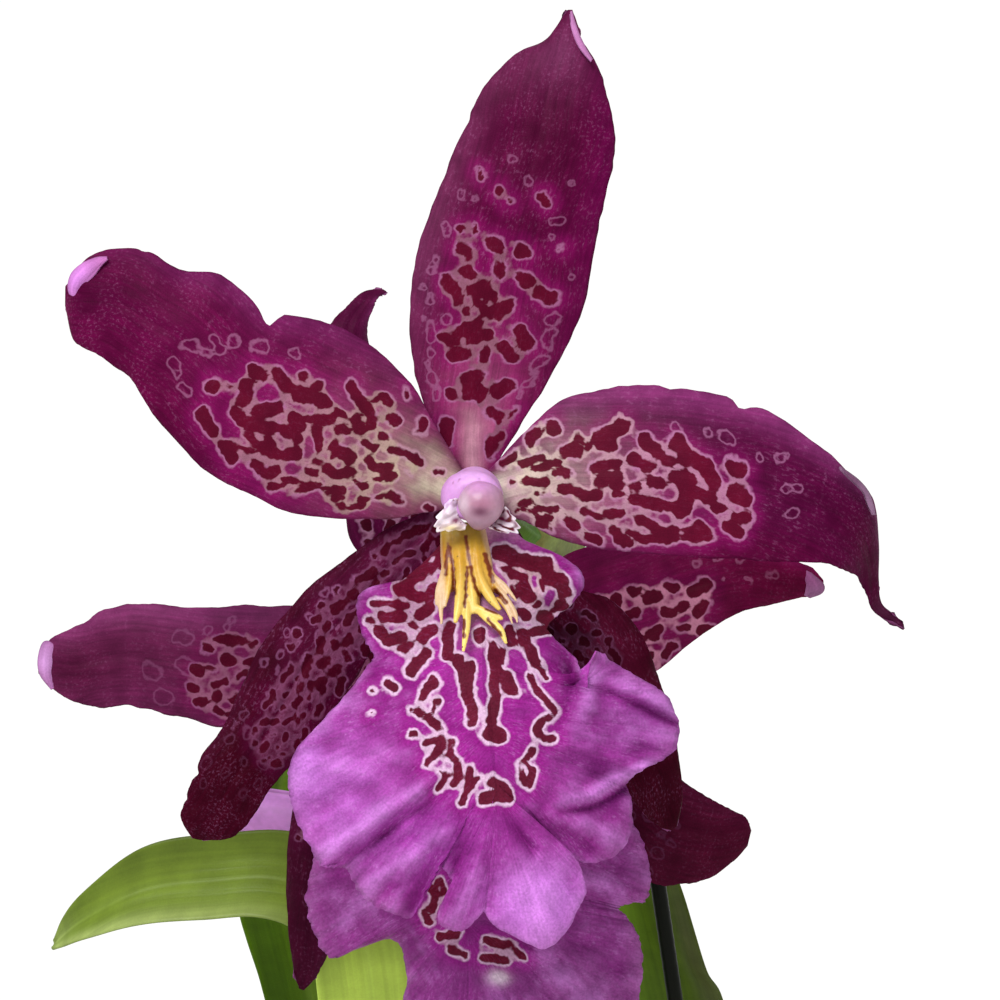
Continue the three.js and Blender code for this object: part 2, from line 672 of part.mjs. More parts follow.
function budBody() {
  return stemAlong(rowsToPlant(budMiddle), 14, 12);
}

// Leaves seen in the picture: rows from foot to tip, each edge with x, z and depth
const seenLeaves = {
  left_arching_leaf: [
    [-9.6, -146, 72.5, -12.4, -146, 71.5],
    [-7, -126.2, 69, -12, -126.2, 67],
    [-5.4, -101.2, 64, -15, -101.2, 60],
    [-5.1, -82.5, 62, -17.5, -82.5, 57],
    [-5.2, -70, 60, -18.8, -70, 55],
    [-5.6, -60.6, 58, -19.6, -62.8, 54],
    [-7.9, -51.9, 57, -20.4, -57.8, 53],
    [-14.4, -45.2, 56, -23.1, -54.5, 52],
    [-23.8, -42.4, 56, -28.1, -53.1, 52],
    [-32.5, -42.8, 57, -34.4, -53.5, 53],
    [-39.4, -43.9, 58, -40.6, -54.1, 55],
    [-44.4, -46.2, 59, -45.6, -55, 57],
    [-49.2, -50.3, 61, -49.2, -56.1, 60],
    [-51.6, -53.4, 62, -51.5, -57, 61.6],
    [-52.8, -56.3, 63, -52.9, -57.4, 63],
  ],
  left_upright_leaf: [
    [-6.6, -140.4, 105.5, -9.4, -140.4, 104.5],
    [-10.9, -122, 99, -17.1, -122, 97],
    [-11.9, -101.2, 93, -21.9, -101.2, 89],
    [-12.4, -82.5, 91, -24, -82.5, 86],
    [-12.9, -70, 90, -25.1, -68.8, 85],
    [-13.6, -62.5, 90, -26.6, -61.9, 85],
    [-14.6, -55, 90, -28.4, -56.2, 85],
    [-15.9, -48.8, 90, -29.4, -52.5, 85],
    [-17.6, -42.5, 90, -29.9, -47.5, 85],
    [-20, -37.8, 90, -28.9, -41.9, 86],
    [-21.6, -35.9, 90, -27, -38, 88],
    [-23.3, -34.2, 90, -24.5, -34.8, 89.6],
  ],
  right_upright_leaf: [
    [27, -142.4, 93.5, 24.2, -142.4, 94.5],
    [28, -126.2, 86, 22.5, -126.2, 88],
    [31.2, -107.5, 78, 21.2, -107.5, 82],
    [32.9, -88.8, 74, 20.6, -88.8, 79],
    [32.4, -73.8, 73, 20, -76.2, 78],
    [30.8, -63.8, 73, 19.1, -65, 78],
    [28.9, -60.2, 73, 17.9, -57.5, 78],
    [27.1, -54.8, 74, 16.9, -51.2, 78],
    [25.4, -49.2, 75, 16.5, -45.6, 78],
    [23.4, -43.8, 77, 17.1, -41.5, 79],
    [20.2, -39, 80, 19.1, -38.6, 80],
  ],
};

// Leaves below the picture's edge: where the foot stands, heading, length, half width, the angle at
// which the blade leaves the bulb and how much it bends down along its length
const freeLeaves = {
  right_arching_leaf: { foot: [20, 7.4, 184.8], heading: 22, length: 150, half: 12, rise: 74, bend: 112 },
  back_arching_leaf: { foot: [-23.4, 19.4, 181.8], heading: 84, length: 140, half: 12, rise: 76, bend: 100 },
  left_low_leaf: { foot: [-28.6, -17.2, 189.9], heading: 205, length: 140, half: 12, rise: 70, bend: 118 },
  front_low_leaf: { foot: [-16, -36.6, 95], heading: 262, length: 115, half: 11, rise: 82, bend: 108 },
  back_right_leaf: { foot: [27, 26, 95], heading: 40, length: 150, half: 12, rise: 84, bend: 98 },
};

const leafGrid = { along: 17, across: 4 };
const leafKeel = 0.22;
const leafFootRadius = 3.6;

// Across the blade the two halves stand up from the midrib in a shallow vee
function leafBlade(edgesAt) {
  const points = [];
  for (let i = 0; i <= leafGrid.along; i += 1) {
    const [first, second, up] = edgesAt(i / leafGrid.along);
    const middle = first.clone().lerp(second, 0.5);
    const width = first.distanceTo(second);
    for (let j = 0; j <= leafGrid.across; j += 1) {
      const v = (2 * j) / leafGrid.across - 1;
      const sag = leafKeel * width * (v * v - 1);
      points.push(middle.clone().lerp(v < 0 ? first : second, Math.abs(v)).addScaledVector(up, sag));
    }
  }
  return thicken(points, gridTriangles(leafGrid.along + 1, leafGrid.across + 1), leafThickness);
}

function seenLeafBody(rows) {
  return leafBlade((u) => {
    const at = (t) => {
      const [ax, az, aDepth, bx, bz, bDepth] = rowAt(rows, t);
      return [toPlant(ax, aDepth, az), toPlant(bx, bDepth, bz)];
    };
    const [first, second] = at(u);
    const [firstAhead, secondAhead] = at(Math.min(u + 0.02, 1));
    const [firstBehind, secondBehind] = at(Math.max(u - 0.02, 0));
    const along = firstAhead.add(secondAhead).sub(firstBehind).sub(secondBehind);
    const up = new THREE.Vector3().crossVectors(along, second.clone().sub(first)).normalize();
    return [first, second, up];
  });
}

function freeLeafBody(leaf) {
  const heading = THREE.MathUtils.degToRad(leaf.heading);
  const out = new THREE.Vector3(Math.cos(heading), Math.sin(heading), 0);
  const across = new THREE.Vector3(-Math.sin(heading), Math.cos(heading), 0);
  const pitchAt = (u) => THREE.MathUtils.degToRad(leaf.rise - leaf.bend * u * u);
  const steps = 60;
  const middleAt = (u) => {
    const point = new THREE.Vector3(...leaf.foot);
    for (let k = 0; k < steps; k += 1) {
      const pitch = pitchAt((u * (k + 0.5)) / steps);
      const step = (leaf.length * u) / steps;
      point.addScaledVector(out, Math.cos(pitch) * step);
      point.z += Math.sin(pitch) * step;
    }
    return point;
  };
  return leafBlade((u) => {
    const half = leaf.half * Math.max(0.2, Math.sin(Math.PI * (0.02 + 0.96 * u ** 0.85)));
    const middle = middleAt(u);
    const pitch = pitchAt(u);
    const up = out.clone().multiplyScalar(-Math.sin(pitch)).add(new THREE.Vector3(0, 0, Math.cos(pitch)));
    const [first, second] = [-half, half].map((side) => middle.clone().addScaledVector(across, side));
    return [first, second, up];
  });
}

// Pseudobulbs: flattened ovals with shallow ribs, each a little sunk in the bark
const bulbs = {
  front_pseudobulb: { x: -26, y: -16, height: 94.2, half: 16, turn: 20 },
  right_pseudobulb: { x: 17, y: 5.6, height: 88.8, half: 15, turn: -15 },
  back_pseudobulb: { x: -23, y: 16.4, height: 85.8, half: 14.5, turn: 60 },
};
const bulb = { sunk: 4, flatness: 0.7, ribs: 9, ribDepth: 0.035, rings: 10, sides: 20 };

function bulbBody(spec, grown) {
  const rings = [];
  for (let i = 0; i <= bulb.rings; i += 1) {
    const u = i / bulb.rings;
    const swell = 0.3 + 0.7 * Math.sin(Math.PI * (0.16 + 0.62 * u)) ** 2 - 0.12 * u;
    const shoulder = u > 0.8 ? 1 - 0.45 * ((u - 0.8) / 0.2) ** 2 : 1;
    const ring = [];
    for (let j = 0; j < bulb.sides; j += 1) {
      const turn = (2 * Math.PI * j) / bulb.sides;
      const radius = spec.half * swell * shoulder * (1 + bulb.ribDepth * Math.cos(bulb.ribs * turn)) + grown;
      const z = bark.top - bulb.sunk - grown + (spec.height + 2 * grown) * u;
      ring.push(new THREE.Vector3(radius * Math.cos(turn), radius * bulb.flatness * Math.sin(turn), z));
    }
    rings.push(ring);
  }
  const body = bodyThroughRings(rings);
  return body.rotateZ(THREE.MathUtils.degToRad(spec.turn)).translate(spec.x, spec.y, 0);
}

// Pot and bark
function potInner(z) {
  const slope = (pot.rimRadius - pot.rimStep - pot.baseRadius) / pot.height;
  return pot.baseRadius + slope * z - pot.wall;
}

function potBody() {
  const rimFoot = pot.height - pot.rimHeight;
  const side = potInner(rimFoot) + pot.wall;
  const profile = [
    [0, 0],
    [pot.baseRadius - 1.5, 0],
    [pot.baseRadius, 1.5],
    [side, rimFoot],
    [pot.rimRadius - 0.8, rimFoot + 0.6],
    [pot.rimRadius, rimFoot + 1.8],
    [pot.rimRadius, pot.height - 1.2],
    [pot.rimRadius - 1.2, pot.height],
    [potInner(pot.height) + 1, pot.height],
    [potInner(pot.height), pot.height - 1],
    [potInner(pot.wall), pot.wall],
    [0, pot.wall],
  ];
  const shell = new THREE.LatheGeometry(profile.map(([r, z]) => new THREE.Vector2(r, z)), 40);
  shell.rotateX(Math.PI / 2);
  const holes = Array.from({ length: drain.count }, (_, k) => {
    const turn = (2 * Math.PI * (k + 0.5)) / drain.count;
    const hole = new THREE.CylinderGeometry(drain.radius, drain.radius, 4 * pot.wall, 16);
    return hole.rotateX(Math.PI / 2).translate(drain.ring * Math.cos(turn), drain.ring * Math.sin(turn), 0);
  });
  return cut(shell, holes);
}

function barkBody(holes) {
  const draw = seededDraw(41);
  const bottom = pot.wall + bark.clear;
  const rings = [bottom, bark.top - bark.relief].map((z) => potInner(z) - bark.clear - 0.3);
  const levels = [[rings[0], bottom], [rings[1], bark.top - 2 * bark.relief]];
  for (let k = 0; k < bark.rings; k += 1) {
    levels.push([rings[1] * (1 - (k + 0.6) / (bark.rings + 0.6)), null]);
  }
  const loops = levels.map(([radius, level]) => {
    const loop = [];
    for (let j = 0; j < bark.spokes; j += 1) {
      const turn = (2 * Math.PI * (j + (level === null ? draw() * 0.5 : 0))) / bark.spokes;
      const z = level ?? bark.top + bark.relief * (2 * draw() - 1);
      loop.push(new THREE.Vector3(radius * Math.cos(turn), radius * Math.sin(turn), z));
    }
    return loop;
  });
  return cut(bodyThroughRings(loops), holes);
}

// Grown by a little, the stake cuts its own hole in the bark
function stakeBody(grown) {
  const [foot, top] = [stake.foot, stake.top].map((end) => new THREE.Vector3(...end));
  foot.addScaledVector(top.clone().sub(foot).normalize(), -grown);
  return stemAlong([foot, top].map((end) => [...end.toArray(), stake.radius + grown]), 4, 10);
}

// A plain upright hole in the bark around what stands at a place
function standingHole([x, y, z], radius) {
  return stemAlong([[x, y, z - gap, radius + gap], [x, y, bark.top + 30, radius + gap]], 2, 12);
}

function named(name, geometry, material) {
  const mesh = new THREE.Mesh(geometry, material);
  mesh.name = name;
  return mesh;
}

// The whole plant
const plant = new THREE.Group();

const blooms = new THREE.Group();
blooms.rotation.x = -bloomTilt;
blooms.position.copy(bloomPlace);
blooms.add(bloomGroup(frontBloom, tepalMaterial));
blooms.add(bloomGroup(rearBloom, rearTepalMaterial));
plant.add(blooms);

plant.add(named("flower_spike", spikeBody(), stemMaterial));
plant.add(named("bud", budBody(), budMaterial));
plant.add(named("stake", stakeBody(0), stakeMaterial));

for (const [name, rows] of Object.entries(seenLeaves)) {
  plant.add(named(name, seenLeafBody(rows), leafMaterial));
}
for (const [name, leaf] of Object.entries(freeLeaves)) {
  plant.add(named(name, freeLeafBody(leaf), leafMaterial));
}
for (const [name, spec] of Object.entries(bulbs)) {
  plant.add(named(name, bulbBody(spec, 0), bulbMaterial));
}

const barkHoles = [
  ...Object.values(bulbs).map((spec) => bulbBody(spec, gap)),
  standingHole(spikeRows[0], spikeRows[0][3]),
  standingHole(freeLeaves.front_low_leaf.foot, leafFootRadius),
  standingHole(freeLeaves.back_right_leaf.foot, leafFootRadius),
  stakeBody(gap),
];
plant.add(named("bark", barkBody(barkHoles), barkMaterial));
plant.add(named("pot", potBody(), potMaterial));

export default plant;
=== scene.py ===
# Looks of a potted aliceara orchid: petals and lips with their marks, callus, columns, bud, spike,
# leaves, pseudobulbs, bark and clay pot. Built in millimetres in the CAD part's frame.

import bpy
import numpy as np
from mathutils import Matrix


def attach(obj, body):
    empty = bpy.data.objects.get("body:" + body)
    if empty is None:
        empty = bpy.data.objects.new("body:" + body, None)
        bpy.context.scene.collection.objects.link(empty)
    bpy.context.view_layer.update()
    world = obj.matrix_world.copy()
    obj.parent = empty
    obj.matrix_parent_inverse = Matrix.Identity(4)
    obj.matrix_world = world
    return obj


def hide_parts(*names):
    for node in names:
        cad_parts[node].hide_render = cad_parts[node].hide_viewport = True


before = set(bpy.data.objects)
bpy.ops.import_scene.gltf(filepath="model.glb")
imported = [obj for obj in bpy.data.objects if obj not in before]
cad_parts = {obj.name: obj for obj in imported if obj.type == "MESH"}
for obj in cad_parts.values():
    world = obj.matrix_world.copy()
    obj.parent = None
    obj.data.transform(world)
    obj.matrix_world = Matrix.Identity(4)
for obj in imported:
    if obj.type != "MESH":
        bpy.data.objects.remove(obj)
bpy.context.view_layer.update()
print("frame loaded")

# The blooms were read off in a plane that faces the eye: x and z across it, depth away from the eye
bloom = {
    "eyeDistance": 500,
    "aim": (3.1, -1.2),
    "tilt": 9,  # degrees
    "place": (-13.75, -62, 366),
}


def fromPlane(x, depth, z):
    spread = 1 + depth / bloom["eyeDistance"]
    aimX, aimZ = bloom["aim"]
    return stacked(aimX + (x - aimX) * spread, depth, aimZ + (z - aimZ) * spread)


def tilted(points):
    turn = np.radians(bloom["tilt"])
    x, y, z = points[..., 0], points[..., 1], points[..., 2]
    upright = stacked(x, y * np.cos(turn) + z * np.sin(turn), z * np.cos(turn) - y * np.sin(turn))
    return upright + np.array(bloom["place"])


def toPlant(x, depth, z):
    return tilted(fromPlane(x, depth, z))


# A smooth curve through all rows, at places t from 0 to 1
def curveAt(rows, t):
    rows = np.asarray(rows, float)
    padded = np.vstack([2 * rows[0] - rows[1], rows, 2 * rows[-1] - rows[-2]])
    place = np.clip(t, 0, 1) * (len(rows) - 1)
    i = np.minimum(place.astype(int), len(rows) - 2)
    f = (place - i)[..., None]
    a, b, c, d = padded[i], padded[i + 1], padded[i + 2], padded[i + 3]
    square = (2 * a - 5 * b + 4 * c - d) * f**2
    cube = (3 * b - a - 3 * c + d) * f**3
    return 0.5 * (2 * b + (c - a) * f + square + cube)


def unit(vectors):
    return vectors / np.maximum(np.linalg.norm(vectors, axis=-1, keepdims=True), 1e-9)


# Smooth seeded unevenness between about -1 and 1, from a few waves of about the given length
def unevenness(seed, length, *places):
    draw = np.random.default_rng(seed)
    total = 0
    for _ in range(6):
        angles = draw.normal(size=len(places))
        angles /= np.linalg.norm(angles)
        stretch = 2 * np.pi / (length * draw.uniform(0.7, 1.5))
        total = total + np.sin(stretch * sum(a * p for a, p in zip(angles, places)) + draw.uniform(0, 6.3))
    return total / 3


# sRGB hex to linear
def linear(code):
    parts = np.array([int(code[i:i + 2], 16) for i in (1, 3, 5)]) / 255
    return np.where(parts <= 0.04045, parts / 12.92, ((parts + 0.055) / 1.055) ** 2.4)


def stacked(*parts):
    return np.stack(np.broadcast_arrays(*parts), -1)


# A colour with a share of another in it
def tinted(colour, code, share):
    return colour + (linear(code) - colour) * share[..., None]


# A base colour with soft patches of others: (colour, place a, place b, reach a, reach b, amount)
def painted(a, b, base, patches):
    a, b = np.broadcast_arrays(a, b)
    colour = np.broadcast_to(linear(base), a.shape + (3,))
    for code, atA, atB, reachA, reachB, amount in patches:
        share = amount * np.exp(-(((a - atA) / reachA) ** 2) - ((b - atB) / reachB) ** 2)
        colour = tinted(colour, code, share)
    return colour


# Distance in mm from each place to the edge of the nearest mark, below 0 inside one, and to that of
# the second nearest. A mark is its half width and the points x, z of its middle line
def markDistance(x, z, marks, blend=0.2):
    nearest = np.full(np.broadcast(x, z).shape, 6)
    second = nearest.copy()
    for half, *path in marks:
        distance = pathDistance(x, z, path)[0] - half
        second = np.minimum(second, np.maximum(nearest, distance))
        share = np.clip(0.5 + 0.5 * (distance - nearest) / blend, 0, 1)
        nearest = distance + (nearest - distance) * share - blend * share * (1 - share)
    return nearest, second


# Distance from each place to a line through points x, z, and how far along it the foot lies
def pathDistance(x, z, path):
    points = np.array(path, float).reshape(-1, 2)
    if len(points) == 1:
        points = np.vstack([points, points + 0.01])
    nearest = np.full(np.broadcast(x, z).shape, 99)
    along = np.zeros_like(nearest)
    for k, ((ax, az), (bx, bz)) in enumerate(zip(points[:-1], points[1:])):
        dx, dz = bx - ax, bz - az
        share = np.clip(((x - ax) * dx + (z - az) * dz) / (dx * dx + dz * dz), 0, 1)
        distance = np.hypot(x - ax - share * dx, z - az - share * dz)
        along = np.where(distance < nearest, (k + share) / (len(points) - 1), along)
        nearest = np.minimum(nearest, distance)
    return nearest, along


# Shells: points, triangles and fields that go with the points

def gridTriangles(rowCount, columnCount, closed=False):
    i, j = np.meshgrid(np.arange(rowCount - 1), np.arange(columnCount - (0 if closed else 1)), indexing="ij")
    i, j = i.ravel(), j.ravel()
    after = (j + 1) % columnCount
    a, b = i * columnCount + j, i * columnCount + after
    c, d = a + columnCount, b + columnCount
    return np.concatenate([stacked(a, c, d), stacked(a, d, b)])


# A thin sheet with its two faces half a thickness to each side of a grid of points. The front faces
# the given way. Fields starting with "back_" replace those of the same name on the back
def sheetShell(points, thickness, facing, fields):
    rowCount, columnCount = points.shape[:2]
    flat = points.reshape(-1, 3)
    cells = np.round(flat * 500).astype(int)
    _, first, slot = np.unique(cells, axis=0, return_index=True, return_inverse=True)
    faces = slot.reshape(-1)[gridTriangles(rowCount, columnCount)]
    faces = faces[(faces[:, 0] != faces[:, 1]) & (faces[:, 1] != faces[:, 2]) & (faces[:, 2] != faces[:, 0])]
    merged = flat[first]
    across = np.cross(merged[faces[:, 1]] - merged[faces[:, 0]], merged[faces[:, 2]] - merged[faces[:, 0]])
    normals = np.zeros_like(merged)
    for corner in range(3):
        np.add.at(normals, faces[:, corner], across)
    if (normals @ np.array(facing)).sum() < 0:
        faces, normals = faces[:, ::-1], -normals
    half = unit(normals) * np.broadcast_to(thickness, points.shape[:2]).reshape(-1)[first, None] / 2
    count = len(merged)
    edges = np.concatenate([faces[:, [0, 1]], faces[:, [1, 2]], faces[:, [2, 0]]])
    loose = edges[~np.isin(edges[:, 1] * count + edges[:, 0], edges[:, 0] * count + edges[:, 1])]
    a, b = loose[:, 0], loose[:, 1]
    walls = np.concatenate([stacked(b, a, a + count), stacked(b, a + count, b + count)])
    carried = {}
    for name, field in fields.items():
        if name.startswith("back_"):
            continue
        front = spreadField(field, points.shape[:2])[first]
        back = spreadField(fields.get("back_" + name, field), points.shape[:2])[first]
        carried[name] = np.concatenate([front, back])
    return {
        "points": np.concatenate([merged + half, merged - half]),
        "triangles": np.concatenate([faces, faces[:, ::-1] + count, walls]),
        "fields": carried,
    }


# A field as one row a point, from a single value, a grid of values or a grid of vectors
def spreadField(field, shape):
    field = np.asarray(field, float)
    if field.ndim == 1 and field.shape[0] == 3:
        return np.tile(field, (shape[0] * shape[1], 1))
    if field.ndim == 3:
        return field.reshape(-1, field.shape[2])
    return np.broadcast_to(field, shape).reshape(-1)


# A closed body through rings of points, shut with a fan at each end
def ringShell(rings, fields=None):
    ringCount, sides = rings.shape[:2]
    points = np.concatenate([rings.reshape(-1, 3), rings[[0, -1]].mean(axis=1)])
    j = np.arange(sides)
    after = (j + 1) % sides
    foot, top = ringCount * sides, ringCount * sides + 1
    last = (ringCount - 1) * sides
    triangles = np.concatenate([
        gridTriangles(ringCount, sides, True),
        stacked(np.full(sides, foot), j, after),
        stacked(np.full(sides, top), last + after, last + j),
    ])
    a, b, c = (points[triangles[:, k]] for k in range(3))
    if np.einsum("ij,ij->i", a, np.cross(b, c)).sum() < 0:
        triangles = triangles[:, ::-1]
    carried = {}
    for name, field in (fields or {}).items():
        rows = spreadField(field, (ringCount, sides))
        ends = rows.reshape((ringCount, sides) + rows.shape[1:])[[0, -1]].mean(axis=1)
        carried[name] = np.concatenate([rows, ends])
    return {"points": points, "triangles": triangles, "fields": carried}


# Rings along a smooth curve of rows x, y, z and radius. widen gives a factor on the radius and paint
# the fields, both from the place u along the stem and the turn around it
def stemShell(rows, steps, sides, widen=None, paint=None):
    u = np.linspace(0, 1, steps + 1)
    here = curveAt(rows, u)
    after, before = curveAt(rows, np.minimum(u + 0.01, 1)), curveAt(rows, np.maximum(u - 0.01, 0))
    along = unit(after[:, :3] - before[:, :3])
    across = np.array([1.0, 0, 0])
    turn = 2 * np.pi * np.arange(sides) / sides
    radius = here[:, 3:4] * (1 if widen is None else widen(u[:, None], turn[None, :]))
    radius = np.broadcast_to(radius, (steps + 1, sides))
    rings = np.zeros((steps + 1, sides, 3))
    for i in range(steps + 1):
        across = unit(across - along[i] * (across @ along[i]))
        third = np.cross(along[i], across)
        spokes = np.cos(turn)[:, None] * across + np.sin(turn)[:, None] * third
        rings[i] = here[i, :3] + spokes * radius[i][:, None]
    length = np.concatenate([[0], np.cumsum(np.linalg.norm(np.diff(here[:, :3], axis=0), axis=1))])
    fields = {"grain": stacked(
        np.cos(turn)[None, :] * here[:, 3:4], np.sin(turn)[None, :] * here[:, 3:4], length[:, None])}
    if paint is not None:
        fields.update(paint(u[:, None], turn[None, :]))
    return ringShell(rings, fields)


def combined(shells):
    total = {"points": [], "triangles": [], "fields": {}}
    count = 0
    for shell in shells:
        total["points"].append(shell["points"])
        total["triangles"].append(shell["triangles"] + count)
        count += len(shell["points"])
        for name, field in shell["fields"].items():
            total["fields"].setdefault(name, []).append(field)
    return {
        "points": np.concatenate(total["points"]),
        "triangles": np.concatenate(total["triangles"]),
        "fields": {name: np.concatenate(parts) for name, parts in total["fields"].items()},
    }


def placed(shell, move):
    return {**shell, "points": move(shell["points"])}


# A shell as an object that rides on the plant and stands for CAD nodes
def makePiece(name, shell, material, nodes):
    mesh = bpy.data.meshes.new(name)
    mesh.from_pydata((shell["points"] * 0.001).tolist(), [], shell["triangles"].tolist())
    writeFields(mesh, shell["fields"])
    mesh.shade_smooth()
    mesh.materials.append(material)
    piece = bpy.data.objects.new(name, mesh)
    bpy.context.scene.collection.objects.link(piece)
    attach(piece, "root")
    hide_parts(*nodes)
    return piece


def writeFields(mesh, fields):
    for name, field in fields.items():
        if field.ndim == 1:
            mesh.attributes.new(name, "FLOAT", "POINT").data.foreach_set("value", field.astype(np.float32))
        else:
            mesh.attributes.new(name, "FLOAT_VECTOR", "POINT").data.foreach_set(
                "vector", field.astype(np.float32).ravel())


# Adds a node; an input is a value or a socket of another node
def addNode(tree, kind, inputs=None, **settings):
    node = tree.nodes.new(kind)
    for key, value in settings.items():
        setattr(node, key, value)
    for key, value in (inputs or {}).items():
        if isinstance(value, bpy.types.NodeSocket):
            tree.links.new(value, node.inputs[key])
        else:
            node.inputs[key].default_value = value
    return node


def rgba(code):
    return (*linear(code), 1)


def newMaterial(name):
    material = bpy.data.materials.new(name)
    material.use_nodes = True
    tree = material.node_tree
    tree.nodes.clear()
    return material, tree


def finishMaterial(tree, surface):
    addNode(tree, "ShaderNodeOutputMaterial", {"Surface": surface.outputs[0]})


def attribute(tree, name, kind="Vector"):
    return addNode(tree, "ShaderNodeAttribute", attribute_name=name).outputs[kind]


def mixed(tree, share, first, second, how="MIX"):
    colours = {"Fac": share, "Color1": first, "Color2": second}
    return addNode(tree, "ShaderNodeMixRGB", colours, blend_type=how).outputs[0]


def mathOf(tree, how, first, second=0.0):
    return addNode(tree, "ShaderNodeMath", {0: first, 1: second}, operation=how).outputs[0]


def times(tree, first, second):
    return mathOf(tree, "MULTIPLY", first, second)


def scaled(tree, place, factors):
    return addNode(tree, "ShaderNodeVectorMath", {0: place, 1: factors}, operation="MULTIPLY").outputs[0]


def noiseAt(tree, place, scale, detail, rough=0.5):
    settings = {"Vector": place, "Scale": scale, "Detail": detail, "Roughness": rough}
    return addNode(tree, "ShaderNodeTexNoise", settings).outputs[0]


# Runs from 0 to 1 as the value goes from low to high
def ramp(tree, value, low, high, kind="SMOOTHSTEP"):
    node = addNode(tree, "ShaderNodeMapRange", {"Value": value, "From Min": low, "From Max": high},
                   interpolation_type=kind)
    return node.outputs[0]


# A petal or lip skin: ground colour, dark marks, a thin pale ring round each, a pale net where they crowd,
# fine veins along the blade, and fine glints painted into the colour as highlight
def spottedMaterial(name, look):
    material, tree = newMaterial(name)
    place = attribute(tree, "plane")
    grain = attribute(tree, "grain")
    rough = noiseAt(tree, place, look["raggedScale"], 2, 0.45)
    ragged = times(tree, mathOf(tree, "SUBTRACT", rough, 0.5), look["ragged"])
    distance = mathOf(tree, "ADD", attribute(tree, "spot", "Fac"), ragged)
    faint = mathOf(tree, "ADD", attribute(tree, "faint", "Fac"), ragged)
    crowd = mathOf(tree, "ADD", attribute(tree, "crowd", "Fac"), times(tree, ragged, 2))
    width = attribute(tree, "ring", "Fac")
    dark = ramp(tree, distance, 0.1, -0.1)
    rim = ramp(tree, distance, mathOf(tree, "ADD", width, 0.22), mathOf(tree, "SUBTRACT", width, 0.14))
    between = ramp(tree, crowd, look["crowd"], look["crowd"] * 0.55)
    ring = times(tree, ramp(tree, faint, 0.28, 0.06), ramp(tree, faint, -0.2, 0))
    ring = times(tree, ring, look["faintShare"])
    netShare = attribute(tree, "netShare", "Fac")
    between = times(tree, between, netShare)
    rim = times(tree, mathOf(tree, "MAXIMUM", rim, ring), netShare)
    veins = noiseAt(tree, scaled(tree, grain, look["veinScale"]), 1, 3, 0.6)
    clouds = noiseAt(tree, place, 0.3, 3)
    cells = noiseAt(tree, place, look["cellScale"], 1)
    glow = ramp(tree, attribute(tree, "tone", "Fac"), 0.5, 1, "LINEAR")
    near = times(tree, ramp(tree, distance, 2.2, 0.3), look["glowShare"])
    glow = times(tree, glow, near)
    ground = mixed(tree, glow, attribute(tree, "ground", "Color"), rgba(look["glow"]))
    ground = greyed(tree, ground, veins, look["veinDepth"])
    ground = greyed(tree, ground, clouds, look["cloudDepth"])
    net = greyed(tree, attribute(tree, "net", "Color"), rough, 0.15)
    pale = mixed(tree, look["rimNet"], rgba(look["rim"]), attribute(tree, "net", "Color"))
    colour = mixed(tree, times(tree, rim, look["rimShare"]), ground, pale)
    colour = mixed(tree, between, colour, net)
    inside = mixed(tree, ramp(tree, clouds, 0.3, 0.7), rgba(look["markDark"]), rgba(look["mark"]))
    # Marks are multiplied by each piece's tone; on pieces that lie in shade this tone is partly painted shade
    inside = mixed(tree, 1, inside, attribute(tree, "tone", "Fac"), "MULTIPLY")
    colour = mixed(tree, times(tree, dark, look["markShare"]), colour, inside)
    colour = greyed(tree, colour, cells, look["cellDepth"])
    # Painted highlight: fine light glints along the grain, mostly kept off the marks
    sparkleHighlightNoise = noiseAt(tree, scaled(tree, grain, look["glintHighlightScale"]), 1, 3, 0.7)
    glintHighlight = times(tree, ramp(tree, sparkleHighlightNoise, 0.5, 0.72), look["glintHighlightShare"])
    glintHighlight = times(tree, glintHighlight, ramp(tree, clouds, 0.35, 0.65))
    glintHighlight = times(tree, glintHighlight, mathOf(tree, "SUBTRACT", 1, times(tree, dark, 0.75)))
    colour = mixed(tree, glintHighlight, colour, rgba(look["glintHighlight"]))
    height = mathOf(tree, "ADD", times(tree, veins, 0.6), times(tree, cells, 0.4))
    height = mathOf(tree, "ADD", height, times(tree, dark, -0.1))
    bump = addNode(tree, "ShaderNodeBump", {"Height": height, "Strength": look["bump"], "Distance": 0.0003})
    surface = addNode(tree, "ShaderNodeBsdfPrincipled", {
        "Base Color": colour, "Roughness": look["roughness"], "IOR": 1.42, "Normal": bump.outputs[0],
        "Specular IOR Level": look["specular"]})
    finishMaterial(tree, surface)
    return material


# A colour made darker and lighter by a noise value
def greyed(tree, colour, value, depth):
    return mixed(tree, 1, colour, shade(tree, value, depth), "MULTIPLY")


# A grey between 1 - depth and 1 + depth that follows a noise value
def shade(tree, value, depth):
    node = addNode(tree, "ShaderNodeMapRange", {
        "Value": value, "From Min": 0.3, "From Max": 0.7, "To Min": 1 - depth, "To Max": 1 + depth})
    return node.outputs[0]


# Front petals and sepals: plum velvet with wine marks and a fine broken glint painted into the colour as
# highlight
frontTepalLook = {
    "mark": "#570220",
    "markDark": "#4a021c",
    "markShare": 0.98,
    "ragged": 1.6,  # mm to and fro at the marks' edges
    "raggedScale": 0.6,  # per mm
    "crowd": 1.5,  # marks with less than this between their edges have the net between them
    "rim": "#b573a6",
    "rimShare": 0.8,
    "rimNet": 0.5,
    "faintShare": 0.55,
    "glow": "#860f5e",
    "glowShare": 0.4,
    "veinScale": (2.4, 0.12, 0),  # per mm across and along the blade
    "veinDepth": 0.2,
    "cloudDepth": 0.22,
    "cellScale": 4.5,  # real cells are finer than the picture can show
    "cellDepth": 0.07,
    "bump": 0.4,
    "roughness": 0.45,
    "specular": 0.03,  # low, as velvet cells swallow the light
    "glintHighlight": "#b070a0",
    "glintHighlightScale": (3, 1.6, 0),
    "glintHighlightShare": 0.22,
}
